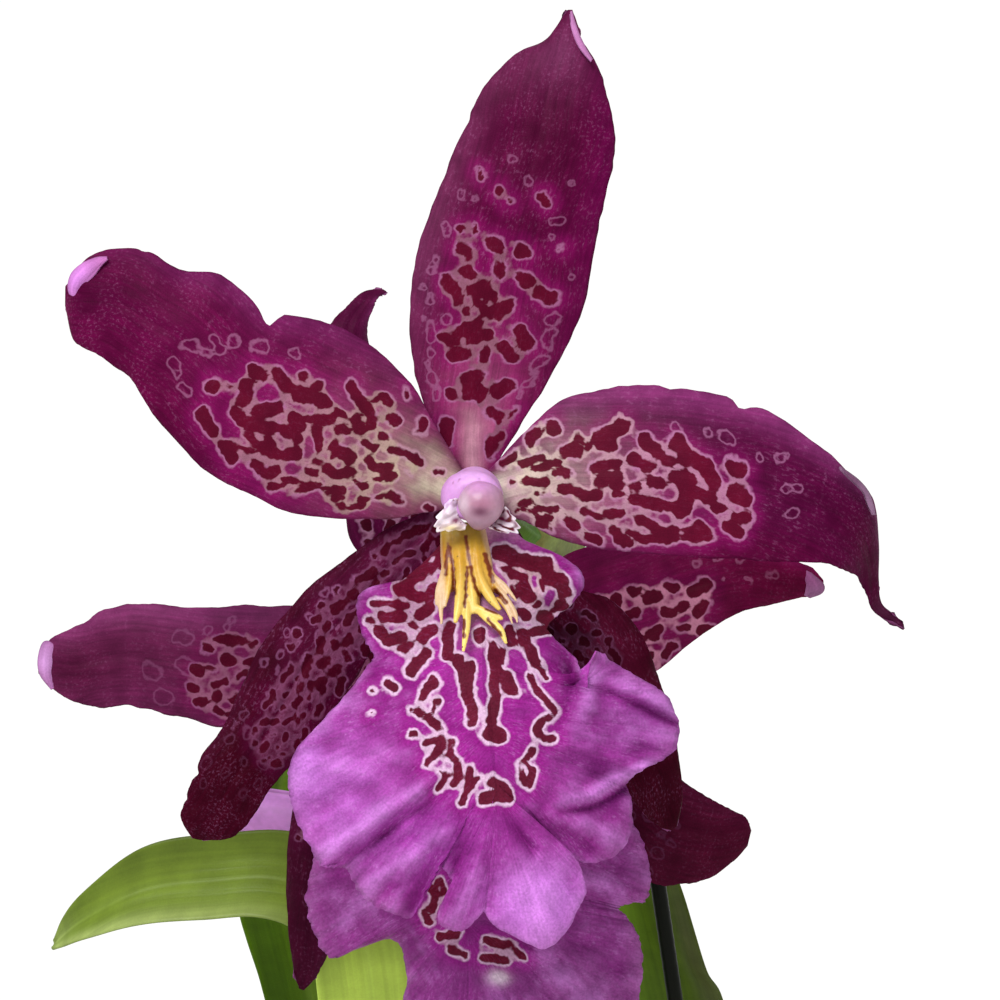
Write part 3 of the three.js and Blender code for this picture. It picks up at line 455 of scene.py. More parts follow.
# Rear bloom: the front look with darker marks, rims and glow and less glint, as painted shade from the front
# bloom
rearTepalShadedLook = {
    **frontTepalLook,
    "mark": "#4f021e",
    "markDark": "#420118",
    "rim": "#96588a",
    "faintShare": 0.5,
    "glow": "#6d0c49",
    "glintHighlightShare": 0.12,
}
# Lip: bright orchid pink with wine blotches ringed in white, and a fine glitter painted into the colour as
# highlight
lipLook = {
    **frontTepalLook,
    "mark": "#600122",
    "markDark": "#51011c",
    "ragged": 1.3,
    "crowd": 1.4,
    "rim": "#e3c3e0",
    "rimShare": 0.95,
    "rimNet": 0.4,
    "glow": "#8c1a7c",
    "glowShare": 0.75,
    "veinScale": (1.6, 0.1, 0),
    "veinDepth": 0.16,
    "cloudDepth": 0.16,
    "cellScale": 3.2,
    "cellDepth": 0.14,
    "bump": 0.7,
    "roughness": 0.4,
    "specular": 0.03,
    "glintHighlight": "#dc9ae4",
    "glintHighlightScale": (3.2, 1, 0),
    "glintHighlightShare": 0.28,
}

frontTepalSkin = spottedMaterial("petal_plum_velvet_front", frontTepalLook)
rearTepalShadedSkin = spottedMaterial("petal_plum_velvet_rear_painted_shade", rearTepalShadedLook)
lipSkin = spottedMaterial("lip_orchid_pink", lipLook)


# Petals and sepals. rows: one edge's x and z, the other edge's x and z, the midrib's depth and how far
# each edge lies behind it. marks and rings: half width and points x, z in mm. nicks: edge, place along
# the blade, depth and widths before and after it. patches: colour, place u and v, reaches, amount
frontTepals = {}
frontTepals["dorsal_sepal"] = {
    "waves": 3,
    "seed": 11,
    "rows": [
        (-1.5, 1, 1.5, 1, 3.9, 0, 0), (-5.2, 7.8, 5.2, 7.4, 3.8, 0.2, 0.2),
        (-7.5, 15, 9.5, 14.3, 3.3, 0.8, 0.8), (-8.2, 22.5, 13.2, 21.8, 2.4, 1.4, 1.4),
        (-7.1, 30, 15.1, 31.2, 1.8, 1.8, 1.8), (-4.8, 36.9, 16.5, 37.5, 1.6, 2, 2),
        (-1.6, 44.8, 17.5, 43.1, 1.8, 1.8, 1.8), (0.9, 50, 16.8, 48.1, 2.4, 1.6, 1.6),
        (4.9, 54.4, 15.5, 52.5, 3.4, 1.2, 1.2), (8.8, 56.3, 13.4, 56.5, 5, 0.6, 0.8),
        (11.5, 60, 12.2, 60, 7.5, 0, 0),
    ],
    "ground": "#4f0330",
    # The paler edges and the lighter top are painted sheen; the dark patch past the middle is painted shade
    # in the blade's hollow
    "patches": [
        ("#66284c", 0.45, -1, 0.35, 0.3, 0.8), ("#5f0640", 0.5, 1, 0.4, 0.3, 0.75),
        ("#420a26", 0.62, 0.1, 0.16, 0.5, 0.5), ("#7a3a62", 0.85, 0, 0.12, 0.8, 0.5),
        ("#7c1c50", 0.1, 0, 0.16, 0.9, 0.9), ("#bd8a9a", 0.02, 0, 0.14, 0.45, 0.97),
    ],
    "net": "#7f4b61",
    "netPatches": [("#815462", 0.3, 0, 0.15, 0.6, 0.5)],
    "netFade": (0.42, 0.75, 0.45, 0.95),
    "ringWidth": 0.2,
    "markToneAndShade": 1,
    "nicks": [(-1, 0.62, 0.35, 0.02, 0.02), (1, 0.9, 0.5, 0.02, 0.012)],
    "marks": [
        (0.53, -1.8, 32.6), (0.36, 0, 33, 0.1, 32.2), (0.76, -1.9, 30.2, -0.9, 30), (0.47, -0.9, 29.1),
        (0.96, 2.2, 30.9, 2.9, 30.6), (1.07, 5.8, 29.8), (0.86, -1, 27.4, -0.6, 26.9),
        (0.76, 3.1, 27.8, 2.9, 27), (0.96, 5.9, 26.5, 6.4, 26.1), (0.86, -3.4, 26.1, -2.8, 25.2),
        (0.71, -2.5, 24.8, -2, 23.8), (0.76, -0.6, 25, 1.4, 25.4), (0.71, 1.9, 24.4, 2.5, 24),
        (0.96, 8, 24.5, 9.5, 24.1), (0.86, 2.6, 22.6, 4.1, 23.1), (0.76, 2.1, 21.9, 2.8, 21.5),
        (0.53, 0.1, 23.5, 1.1, 22.6), (0.59, -1, 22.4), (0.86, -2.5, 19, -1.6, 20, 0.2, 20.6),
        (0.76, -0.6, 18.8, 1.8, 19.6), (0.71, -3.8, 19.2, -3.2, 18.6), (0.86, -2.9, 16.9, -1.4, 17.1),
        (0.71, 1.4, 17.5, 1, 16.5), (0.86, 3.6, 18.1, 4.5, 16.8), (0.86, 5.5, 19.9, 6.5, 18.2),
        (0.86, -0.9, 13.8, 0.6, 14.4), (1.07, -0.9, 12.4, 0.5, 12.2), (0.81, -2.9, 11.9),
        (1.07, 2.9, 12.4, 4, 13.1), (0.76, 1.9, 9.8, 3, 9.1), (0.86, -3.5, 8.2, -3.6, 6.2),
        (0.66, 2.1, 6.2, 1.8, 4.4), (0.47, 2.9, 6.5, 3.4, 6.8), (0.47, 10.6, 30.4),
        (0.24, 4.1, 8.8, 5, 10.2), (0.47, 0.6, 39.8, 0.8, 39.2), (0.53, 3, 37.4), (0.53, 4.2, 36.1),
        (0.66, 8.5, 36.6, 8.8, 36.1),
    ],
    "rings": [
        (0.5, 4.6, 41.4), (0.44, -1.5, 37.2, -1.5, 36.6), (0.38, -0.2, 36.4), (0.44, 6.6, 38.8, 6.6, 38.2),
        (0.5, -4.9, 28.9), (0.31, 11.8, 26.5), (0.38, 9.5, 31.5), (0.38, 9.6, 33.5, 10.8, 33.8),
        (0.38, 12, 38.4), (0.5, -3.8, 33.1, -3.5, 32.2), (0.62, -3.6, 21.5), (0.62, -4.8, 12),
        (0.44, -5.6, 24.5, -5.6, 23.5), (0.31, -6.5, 25.5, -6.1, 25.1), (0.31, -5.6, 27.8, -5.6, 27.2),
        (0.25, -6.4, 21.5), (0.5, -5.6, 20.6, -5.5, 19.1), (0.5, -5.6, 17.2), (0.25, -5.9, 15.9),
        (0.62, -5.6, 14.1, -5.1, 13.8), (0.5, 9.1, 21.1, 10.1, 21.8), (0.31, 10.5, 21.6),
        (0.62, 9.5, 19.8, 8.9, 18.8), (0.44, 9, 18.1), (0.44, 7, 15.5, 7.9, 16.1, 8.8, 16.5),
        (0.25, 7.8, 14.6), (0.38, 6.2, 13.2, 6.8, 13.5), (0.31, 5.5, 11.8, 5.9, 12.2),
    ],
    "turned": {
        "outer": [(12, 59.9), (12.5, 58.2), (13.1, 56.6), (13.9, 55), (14.6, 53.8)],
        "inner": [(11.9, 59.5), (12, 57.9), (12.6, 56), (13.4, 54.8), (14.5, 53.6)],
        "depth": (7, 3.4), "bulge": 0.3, "lift": 0.5, "colour": "#b274a8",
    },
}
frontTepals["left_petal"] = {
    "waves": 4,
    "seed": 23,
    "rows": [
        (-0.9, 1.4, -0.9, -1.4, 2.6, 0, 0), (-4.6, 7.4, -6.2, -2.8, 2.4, 0.1, 0.1),
        (-7.8, 13, -12.9, -3.6, 1, 1, 0.6), (-12.9, 18, -21.9, -3.1, -0.6, 2.4, 1.5),
        (-19.1, 21.1, -29.6, 0.1, -1.2, 3, 1.5), (-25.6, 22.4, -34.9, 3.6, -1.4, 3, 1.2),
        (-31.6, 26.8, -40.4, 9.9, -1, 2.6, 1), (-36.9, 27.6, -43.3, 14.1, 0, 2.2, 1),
        (-41.9, 30.2, -47.2, 16.8, 1.5, 1.6, 0.8), (-47.8, 29.4, -50.1, 18.8, 3.5, 0.8, 0.4),
        (-51.2, 25.6, -51.2, 22.8, 5.5, 0, 0),
    ],
    "ground": "#560535",
    "patches": [
        # The lighter patch along the upper edge is painted sheen
        ("#671d50", 0.5, -1, 0.4, 0.28, 0.85), ("#4e032d", 0.5, 0.9, 0.3, 0.35, 0.8),
        ("#6f0a4c", 0.32, 1, 0.14, 0.4, 0.7), ("#45032a", 0.86, -0.1, 0.12, 0.6, 0.8),
        ("#6f0f4c", 0.35, -0.1, 0.22, 0.5, 0.55), ("#d6d0b2", 0, 0.1, 0.19, 0.6, 0.97),
    ],
    "net": "#8a546a",
    "netPatches": [("#bfae94", 0.08, 0.2, 0.2, 0.9, 0.95), ("#976279", 0.42, 0.2, 0.15, 0.8, 0.6)],
    "netFade": (0.55, 0.8, 0.5, 1),
    "ringWidth": 0.26,
    "markToneAndShade": 1.05,
    "nicks": [(-1, 0.487, 1.9, 0.006, 0.03), (-1, 0.79, 0.3, 0.015, 0.015)],
    "marks": [
        (0.9, -32.8, 13), (0.34, -30.8, 13), (0.9, -34, 9.5, -32.9, 7.6), (0.79, -27.8, 15, -26.5, 14.2),
        (0.9, -28.6, 13.2, -29, 11.2), (0.79, -24.9, 14.5, -23.4, 13, -21.9, 12.2), (0.68, -21.6, 14.1),
        (0.56, -20.2, 12.9, -19.5, 13), (0.9, -22.2, 11.6, -20.5, 11.6, -18.8, 11),
        (0.9, -27.2, 9.5, -25.9, 10.2, -24.5, 10.2),
        (0.79, -30.1, 9.8, -28.8, 8.6, -26.6, 7.8, -24.4, 7.8, -22.2, 6.6), (0.9, -22.6, 8.9, -21.8, 7.9),
        (0.73, -20.5, 8.9, -18, 8.8), (0.68, -19.9, 7.5, -19.5, 5.5), (0.45, -17.1, 9.8, -16.5, 9.5),
        (0.68, -17.1, 7.8, -16.2, 7.4), (0.62, -15.2, 9, -14.5, 7.6),
        (0.73, -15.4, 12.8, -14.2, 11, -13.1, 9.8, -13.1, 8.2), (0.34, -12.5, 11.1),
        (0.68, -11.4, 11.6, -11.1, 11.1), (0.34, -8.6, 12.5, -8.5, 11.8), (0.9, -10.2, 8.8),
        (0.62, -6.5, 8.5, -7, 7.5), (0.56, -11.8, 6.8, -11.2, 6.6), (0.56, -14.1, 5.9, -12.6, 5.4),
        (0.56, -28.5, 6.8, -27.1, 5.6), (0.56, -25.9, 6.2, -25.4, 5.6), (0.9, -31.1, 5.5, -30.4, 4.1),
        (0.45, -29.8, 5.5, -27.9, 5.1), (0.79, -26.4, 5.1, -24.4, 4.4, -22.2, 4.6),
        (0.79, -17.6, 5.4, -16.5, 4.6, -15.4, 4.1), (0.45, -17.8, 4.1),
        (0.56, -10.6, 5, -9, 4.6, -7.8, 4, -6.9, 3.5), (0.79, -27.5, 3.1, -26, 2.1, -24.9, 2.4),
        (0.5, -20.9, 3, -20, 2), (0.4, -19.9, 3.5), (0.68, -18.4, 2.8, -17.5, 1.9, -16.1, 2.2),
        (0.34, -15, 2.4), (0.56, -13.6, 3.8, -12.4, 2.6, -10.2, 1.8), (0.5, -11.8, 3, -10.4, 2.9),
        (0.5, -12.6, 1.5, -11.9, 1.4), (0.5, -23.8, 1.4, -22.1, 1.1), (0.5, -25.4, 0.5, -24.2, 0.6),
        (0.5, -15.1, 1.1, -13.9, 0.5), (0.5, -22.2, -0.1, -21, 0.6, -19.6, 0.8, -18.4, -0.2),
        (0.68, -17.4, 0.1, -16.5, 0.2), (0.34, -14.1, -1.1, -11.9, -0.9), (0.56, -10.6, -0.5, -9.4, -1.4),
        (0.34, -17.9, -0.9, -16.5, -1), (0.45, -17, -1.8, -16.4, -1.8), (0.45, -15.6, -2.1, -14.2, -1.9),
        (0.23, -8.9, 2.5, -8.4, 2.2), (0.34, -6, -2, -5.5, -2.5), (0.34, -4.9, 2.2, -4.2, 2.1),
    ],
    "rings": [
        (0.75, -35.9, 18.2, -35.2, 17.9), (0.5, -34, 17.5, -33.5, 17.2), (0.5, -31.8, 17.5),
        (0.5, -32.5, 18.8), (0.75, -30.4, 18.5), (0.62, -22.5, 17), (0.75, -27.5, 17.9, -26.6, 17.8),
        (0.5, -37.1, 14.5), (0.5, -36.5, 13, -36, 12.4), (0.5, -37.9, 16, -37.4, 15.5),
    ],
    "turned": {
        "outer": [(-49.8, 23.1), (-50.8, 25), (-50.5, 26.9), (-49.2, 28.2), (-47.4, 29), (-46, 29.1)],
        "inner": [(-49.5, 23.4), (-49.4, 24.8), (-48.5, 25.9), (-47.6, 26.8), (-46.8, 28), (-46, 28.9)],
        "depth": (5.2, 3.2), "bulge": 0.7, "lift": 0.9, "colour": "#b56cab",
        "patches": [("#d58ae0", 0.4, 0.4, 0.3, 0.5, 0.8)],
    },
}
frontTepals["right_petal"] = {
    "waves": 4,
    "seed": 37,
    "rows": [
        (0.9, 1.6, 0.9, -1.2, 2.6, 0, 0), (5.3, 6.3, 4.6, -3.2, 2.4, 0.1, 0.1),
        (10.1, 10.8, 9.1, -5.5, 1, 0.8, 0.6), (15.6, 12.6, 15.6, -7.4, -0.6, 1.6, 1.4),
        (21.9, 13.1, 22.1, -7.9, -1.2, 2, 1.5), (28.8, 12.2, 28.8, -8.4, -1.4, 2.2, 1.2),
        (36.2, 10.1, 35, -8.8, -1.2, 2.4, 0.8), (42.9, 5.6, 40.9, -9, -0.6, 2.8, 0.5),
        (46.9, 2, 44.6, -9.4, 0.6, 3, 0.4), (49.7, -1.2, 46.8, -10.2, 2.5, 2.6, 0.4),
        (50.4, -6.4, 48.1, -11.4, 5, 1.4, 0.4), (50.4, -11.2, 49, -13.4, 7.2, 0.5, 0.3),
        (50.8, -14, 49.9, -15.3, 9.2, 0.2, 0.2), (53.5, -16.6, 53.6, -17.3, 12, 0, 0),
    ],
    "ground": "#4a0530",
    "patches": [
        # The lighter patch along the upper edge is painted sheen
        ("#7f2f68", 0.42, -1, 0.35, 0.3, 0.85), ("#6f0a50", 0.25, 0.6, 0.14, 0.5, 0.6),
        ("#560230", 0.4, 0.9, 0.2, 0.35, 0.7), ("#470428", 0.72, 0.1, 0.12, 0.7, 0.7),
        ("#3c0622", 0.86, 0, 0.1, 0.9, 0.8), ("#4c1c38", 0.96, 0, 0.06, 0.9, 0.8),
        ("#e0dac6", 0, 0.15, 0.18, 0.6, 0.97),
    ],
    "net": "#9b6483",
    "netPatches": [("#cbbdaa", 0.08, 0, 0.18, 0.9, 0.95), ("#a46888", 0.3, 0, 0.14, 0.8, 0.6)],
    "netFade": (0.5, 0.64, 0.5, 1),
    "ringWidth": 0.28,
    "markToneAndShade": 1.1,
    "nicks": [(-1, 0.335, 0.4, 0.01, 0.01), (-1, 0.43, 1.1, 0.008, 0.014)],
    "marks": [
        (0.56, 3.5, 3.5, 4.9, 4.4), (0.81, 7, 6.1, 7.6, 7), (0.88, 9.5, 8.1, 9.8, 7.5),
        (0.62, 5.8, 3.2, 8.1, 4.1), (0.56, 7.6, 2.6, 10.1, 3.4), (0.62, 10.4, 2.1, 11.5, 2.1),
        (0.38, 4.6, 0.9, 5.9, 1), (0.56, 6.5, 1.2, 8.8, 1), (1, 11.5, 4.9, 12.6, 5.1),
        (0.5, 13.1, 6.4, 13.5, 5.9), (0.44, 14.2, 5.4), (0.88, 15.4, 6.6, 16.9, 7.2, 18.4, 7.8),
        (0.62, 18.2, 8.6, 18.8, 8.2), (0.75, 15.9, 5.6, 17.1, 5.4),
        (0.69, 14.6, 2.6, 16.1, 3.1, 17.8, 3.2), (0.38, 7.9, -0.5, 9.6, -0.5), (0.62, 11, 0.1, 12.5, -0.2),
        (0.75, 13.6, -0.6, 15.4, -0.5), (0.75, 15.4, 0.9, 16, 1.1), (0.75, 16.6, 1.5, 17.9, 1.9),
        (0.62, 17.5, 0.8, 18.1, 0.8), (0.62, 19.6, 0.5, 20.4, 0.6), (0.5, 17.5, -0.6, 18.6, -0.5),
        (0.88, 22, 1, 22.8, 0.9), (0.81, 19.8, 3.9, 20.6, 3.4, 21.5, 2.9), (1, 21.2, 6.1, 22.1, 5.4),
        (0.75, 22.8, 4.6, 24.4, 3.4), (1, 25.1, 6, 26.1, 5), (1, 26.6, 4, 28.5, 3.2, 29.4, 1.9, 30.1, 0.8),
        (1, 25.2, 1.5, 26.9, 1.4), (0.81, 19.9, -1.2, 22.1, -1.6, 24.6, -2),
        (1.12, 25.6, -2.4, 26.5, -1.2), (0.75, 26.1, 0, 27.1, -0.5), (0.88, 28.1, -0.5, 29.5, -1),
        (0.94, 32.1, 3.1, 33.2, 2.4), (1.12, 32.4, -0.4, 33.5, -1), (0.62, 30.1, -2.4, 31, -2.2),
        (0.44, 5.5, -1.8, 7.1, -1.5), (0.44, 5.4, -2.5, 8.8, -2.4, 10.4, -2.4), (0.38, 8, -3.4, 9.5, -3.4),
        (0.38, 8.2, -4.2, 9.4, -4.8), (0.62, 11.4, -3.8, 12.8, -4.5), (0.56, 13.5, -2.6, 15.2, -3.1),
        (0.56, 16.4, -3, 18.2, -2.9), (0.62, 14.4, -5.9, 15.4, -6.2),
        (0.75, 17.4, -5.1, 18.1, -6, 19.1, -6.6), (0.5, 19.4, -5.2, 20.1, -5.6),
        (0.62, 20.4, -3.6, 21.9, -4.2, 23.1, -4.9), (0.56, 20.6, -6.1, 23.1, -6.1, 25.6, -5.9, 28.1, -5.8),
        (0.75, 27.8, -4.5, 29, -5.8), (0.5, 23.8, -5.1, 26.9, -5), (0.88, 31.6, -4.6, 32.9, -5.2),
        (0.75, 32.8, -3.5, 34, -3.4),
    ],
    "rings": [
        (0.62, 25.1, 7.9), (0.5, 29.2, 7.1), (0.62, 31.2, 6.9, 32, 6.2), (0.5, 35.5, 4.1),
        (0.5, 37.9, 4, 38.6, 4), (0.5, 39, -3.1, 39.8, -2.9), (0.38, 38.4, 0.2, 40.4, 0.2),
    ],
    "turned": {
        "outer": [(45.5, 2.9), (46.6, 2.2), (47.9, 1.2), (49, -0.1), (49.7, -1.9), (49.9, -3.1)],
        "inner": [(45.7, 2.6), (46.6, 1.6), (47.9, 0.4), (48.6, -0.5), (48.9, -1.6), (49.7, -3.1)],
        "depth": (-0.3, 3.4), "bulge": 0.5, "lift": 0.6, "colour": "#8d6a88",
        "patches": [("#6b3a5c", 0.2, 0.5, 0.3, 0.6, 0.7)],
    },
}
frontTepals["left_sepal"] = {
    "waves": 3,
    "seed": 41,
    "rows": [
        (-2.6, -0.6, -0.9, -2.6, 3.9, 0, 0), (-8.8, -3.7, -5.2, -8.2, 4.6, 0.2, 0.2),
        (-15.5, -7.9, -9.4, -15, 5, 0.6, 0.5), (-21.6, -13.1, -13.1, -20.6, 5.2, 1, 0.8),
        (-26.4, -18.8, -16.9, -26.2, 5.4, 1.2, 1), (-29.4, -25.2, -20.4, -31.5, 5.6, 1.2, 1),
        (-31.8, -30, -23.5, -35, 6, 1.2, 1), (-34.8, -34.4, -26.4, -38.5, 6.6, 1, 0.8),
        (-35.8, -37.5, -28.4, -41.8, 7.2, 0.8, 0.6), (-36.9, -40.6, -30.9, -43.5, 7.8, 0.4, 0.3),
        (-35.4, -43.5, -33.9, -43.8, 8.4, 0, 0),
    ],
    # Ground, net and mark tone darker than the petals': partly the sepal's own colour, partly painted shade
    "ground": "#350112",
    "patches": [
        ("#4d1330", 0.16, 0, 0.2, 0.9, 0.6), ("#3c041e", 0.5, 1, 0.3, 0.4, 0.6),
        ("#420b26", 0.5, -1, 0.3, 0.3, 0.6), ("#320113", 0.85, 0, 0.2, 0.9, 0.7),
        ("#622648", 0, 0, 0.1, 0.9, 0.8),
    ],
    "net": "#683350",
    "netFade": (0.35, 0.66, 0.15, 0.95),
    "ringWidth": 0.14,
    "markToneAndShade": 0.62,
    "nicks": [(-1, 0.72, 0.5, 0.012, 0.02), (-1, 0.83, 0.3, 0.012, 0.012), (1, 0.55, 0.25, 0.02, 0.02)],
    "strewn": [
        {"seed": 5, "tries": 700, "u": (0.04, 0.4), "v": (-0.55, 0.85), "size": 0.98,
         "gap": 0.28, "ringsOnly": False},
        {"seed": 6, "tries": 500, "u": (0.4, 0.6), "v": (-0.3, 0.75), "size": 0.66,
         "gap": 0.4, "ringsOnly": False},
        {"seed": 7, "tries": 90, "u": (0.2, 0.75), "v": (-0.8, 0.7), "size": 0.55,
         "gap": 1.6, "ringsOnly": True},
    ],
}
frontTepals["right_sepal"] = {
    "waves": 3,
    "seed": 43,
    "rows": [
        (2.6, -0.9, 1, -2.9, 3.9, 0, 0), (7.1, -7.2, 4.6, -11.2, 5, 0.2, 0.2),
        (12.5, -12, 8.8, -18.8, 6.2, 0.4, 0.4), (17.1, -13.8, 12.1, -25, 7.2, 0.8, 0.8),
        (20.6, -17.9, 15, -30.6, 8.2, 1, 1), (23.1, -23.8, 17.5, -35, 9.2, 1, 1),
        (24.5, -28.1, 19.6, -38.5, 10, 1, 1), (25.4, -33.1, 21.4, -40.8, 10.8, 0.8, 0.8),
        (25.9, -38.1, 22.9, -42, 11.6, 0.4, 0.4), (25.2, -42, 24.5, -42.5, 12.4, 0, 0),
    ],
    # Ground, net and mark tone darker than the petals': partly the sepal's own colour, partly painted shade
    "ground": "#3a0317",
    "patches": [("#5d1132", 0.3, -0.2, 0.2, 0.7, 0.5), ("#330213", 0.8, 0, 0.2, 0.9, 0.7)],
    "net": "#4c1f36",
    "netFade": (0.3, 0.5, 0, 0.85),
    "ringWidth": 0.12,
    "markToneAndShade": 0.42,
    "nicks": [(1, 0.6, 0.3, 0.02, 0.02)],
    "strewn": [
        {"seed": 15, "tries": 300, "u": (0.12, 0.42), "v": (-0.5, 0.9), "size": 0.8,
         "gap": 0.4, "ringsOnly": False},
    ],
}

rearTepals = {}
rearTepals["dorsal_sepal"] = {
    "waves": 3,
    "seed": 51,
    "rows": [
        (-5.6, -18.6, -2.6, -18.3, 38.9, 0, 0), (-10.6, -12, -4.4, -9.8, 38.8, 0.3, 0.3),
        (-15.2, -6.9, -6.2, -2.5, 38.4, 0.8, 0.8), (-16.4, -2.5, -7.9, 3.8, 38, 1.2, 1.2),
        (-17.8, 5, -9.6, 10, 38, 1.4, 1.4), (-18.8, 12.5, -11.4, 15, 38.4, 1.4, 1.4),
        (-18.5, 18.8, -13.4, 18.5, 39, 1.4, 1.4), (-17.5, 21.5, -13.3, 21, 40, 1, 1),
        (-15.6, 23.4, -12.7, 22.8, 41, 0.6, 0.6), (-13.9, 24.8, -12.1, 24.1, 42.4, 0.3, 0.3),
        (-11.6, 25.1, -11.1, 24.8, 44, 0, 0),
    ],
    "ground": "#4a0a30",
    "patches": [("#7c2c62", 0.8, 1, 0.2, 0.4, 0.6)],
    "net": "#a0708a",
    "netFade": (0.4, 0.6, 0.3, 0.9),
    "ringWidth": 0.2,
    "markToneAndShade": 0.8,
    "strewn": [
        {"seed": 25, "tries": 300, "u": (0.1, 0.45), "v": (-0.7, 0.7), "size": 0.85,
         "gap": 0.5, "ringsOnly": False},
    ],
}
rearTepals["left_petal"] = {
    "waves": 4,
    "seed": 53,
    "rows": [
        (-4.9, -18, -4.9, -20.8, 37.4, 0, 0), (-10.2, -15.6, -10.6, -23.6, 37.4, 0.1, 0.1),
        (-16.9, -14.2, -18.1, -27.4, 36.4, 1, 1), (-23.1, -14.5, -25, -29.5, 36, 1.4, 1.4),
        (-29.4, -14.5, -31.6, -29.6, 36, 1.6, 1.6), (-35.6, -14.6, -37.5, -28.2, 36.2, 1.6, 1.6),
        (-41.9, -14.1, -42.5, -27.2, 36.8, 1.4, 1.4), (-46.1, -14.9, -46.9, -27.1, 37.6, 1, 1),
        (-49.6, -16.9, -50.1, -26.5, 38.6, 0.6, 0.6), (-52.9, -18.5, -53.1, -24.6, 39.8, 0.3, 0.3),
        (-54.6, -21, -54.6, -22.8, 41, 0, 0),
    ],
    "ground": "#56193c",
    "patches": [
        # The lighter patch along the upper edge is painted sheen
        ("#783060", 0.6, -1, 0.4, 0.4, 0.85), ("#3a0420", 0.8, 0.2, 0.15, 0.6, 0.6),
        ("#5f1c46", 0.4, 0.8, 0.3, 0.35, 0.5),
    ],
    "net": "#834c66",
    "netFade": (0.45, 0.6, 0.55, 0.95),
    "ringWidth": 0.2,
    "markToneAndShade": 0.95,
    "nicks": [(1, 0.62, 0.3, 0.02, 0.02)],
    "rings": [
        (0.75, -36.9, -18.3, -35.9, -18.5), (0.8, -40.9, -22.4, -39.9, -22.8),
        (0.95, -36.5, -21.9, -35.2, -22.3), (0.75, -39.4, -25.7, -38.5, -25.9), (0.4, -31, -17.2),
        (0.35, -30.4, -16.4), (0.4, -33.4, -17.6),
    ],
    "strewn": [
        {"seed": 33, "tries": 500, "u": (0.1, 0.47), "v": (-0.5, 0.8), "size": 1.02,
         "gap": 0.32, "ringsOnly": False},
    ],
    "turned": {
        "outer": [(-52.9, -24.9), (-54.3, -23.1), (-54.6, -21.2), (-54, -19.1), (-52.8, -19)],
        "inner": [(-52.7, -24.8), (-52.6, -23.5), (-52.3, -21.9), (-52.3, -20.4), (-52.4, -19.3)],
        "depth": (40.5, 40.5), "bulge": 0.7, "lift": 0.8, "colour": "#a0659a",
        "patches": [("#b98ac0", 0.5, 0.4, 0.3, 0.5, 0.7)],
    },
}
rearTepals["right_petal"] = {
    "waves": 4,
    "seed": 57,
    "rows": [
        (-3.1, -18, -3.1, -20.8, 37.4, 0, 0), (2.2, -14.6, 2.2, -23.4, 37.4, 0.1, 0.1),
        (8.1, -10.5, 10, -26.2, 36.4, 1, 1), (12.9, -7.4, 16.9, -25.2, 36, 1.4, 1.4),
        (19.4, -6, 22.5, -22.5, 36, 1.6, 1.6), (26.2, -5.6, 27.8, -18.5, 36.2, 1.6, 1.6),
        (32.5, -6.2, 33.6, -15, 36.8, 1.4, 1.4), (37.5, -7.8, 37.6, -14.2, 37.6, 1, 1),
        (40.5, -9, 40.6, -13.4, 38.6, 0.6, 0.6), (42.2, -9.8, 42.1, -13.2, 39.6, 0.3, 0.3),
        (43.5, -11.2, 43.5, -12.2, 40.6, 0, 0),
    ],
    "ground": "#5a0630",
    "patches": [
        # The lighter patch along the upper edge is painted sheen
        ("#6c0f4a", 0.55, -1, 0.35, 0.35, 0.7), ("#40021c", 0.75, 0.3, 0.2, 0.6, 0.7),
        ("#7c1850", 0.32, 0.2, 0.18, 1, 0.85),
    ],
    "net": "#bd7a94",
    "netFade": (0.55, 0.72, 0.35, 0.95),
    "ringWidth": 0.26,
    "markToneAndShade": 1.25,
    "strewn": [
        {"seed": 61, "tries": 500, "u": (0.2, 0.52), "v": (-0.25, 0.95), "size": 1.15,
         "gap": 0.3, "ringsOnly": False},
        {"seed": 62, "tries": 40, "u": (0.5, 0.7), "v": (-0.6, 0.4), "size": 0.5,
         "gap": 3, "ringsOnly": True},
    ],
    "turned": {
        "outer": [(41.4, -9.4), (42, -10.4), (43.5, -11.8), (43.3, -12.8), (41.8, -13.4)],
        "inner": [(40.6, -9.6), (40.5, -10.6), (40.5, -11.8), (40.6, -12.5), (41, -13.1)],
        "depth": (39.6, 39.6), "bulge": 0.9, "lift": 0.5, "colour": "#8a5a80",
        "patches": [("#7a3565", 0.3, 0.5, 0.3, 0.6, 0.6)],
    },
}
rearTepals["left_sepal"] = {
    "waves": 3,
    "seed": 59,
    "rows": [
        (-6.6, -20.3, -4.9, -22.2, 38.9, 0, 0), (-10.4, -23, -6.6, -27.5, 39.4, 0.2, 0.2),
        (-15.6, -27.5, -9.4, -33.1, 40, 0.6, 0.6), (-20, -33.8, -11.9, -38.8, 40.4, 1, 1),
        (-22.8, -40, -14.4, -45, 40.8, 1.2, 1.2), (-23.5, -46.2, -16.2, -50.6, 41.2, 1.2, 1.2),
        (-23.5, -51.9, -17.8, -55, 41.8, 1.2, 1.2), (-23.1, -57.5, -18.5, -58.1, 42.4, 0.8, 0.8),
        (-22.6, -60.2, -19.9, -60.8, 43.2, 0.4, 0.4), (-22.1, -62.2, -21.4, -62.5, 44, 0, 0),
    ],
    # Dark ground and low mark tone: partly the sepal's own colour, partly painted shade
    "ground": "#36061d",
    "patches": [("#5d2040", 0.5, 1, 0.4, 0.4, 0.5)],
    "net": "#80506a",
    "netFade": (0.4, 0.6, 0.2, 0.7),
    "ringWidth": 0.14,
    "markToneAndShade": 0.6,
    "strewn": [
        {"seed": 71, "tries": 300, "u": (0.1, 0.5), "v": (-0.7, 0.7), "size": 0.8,
         "gap": 0.6, "ringsOnly": False},
    ],
}
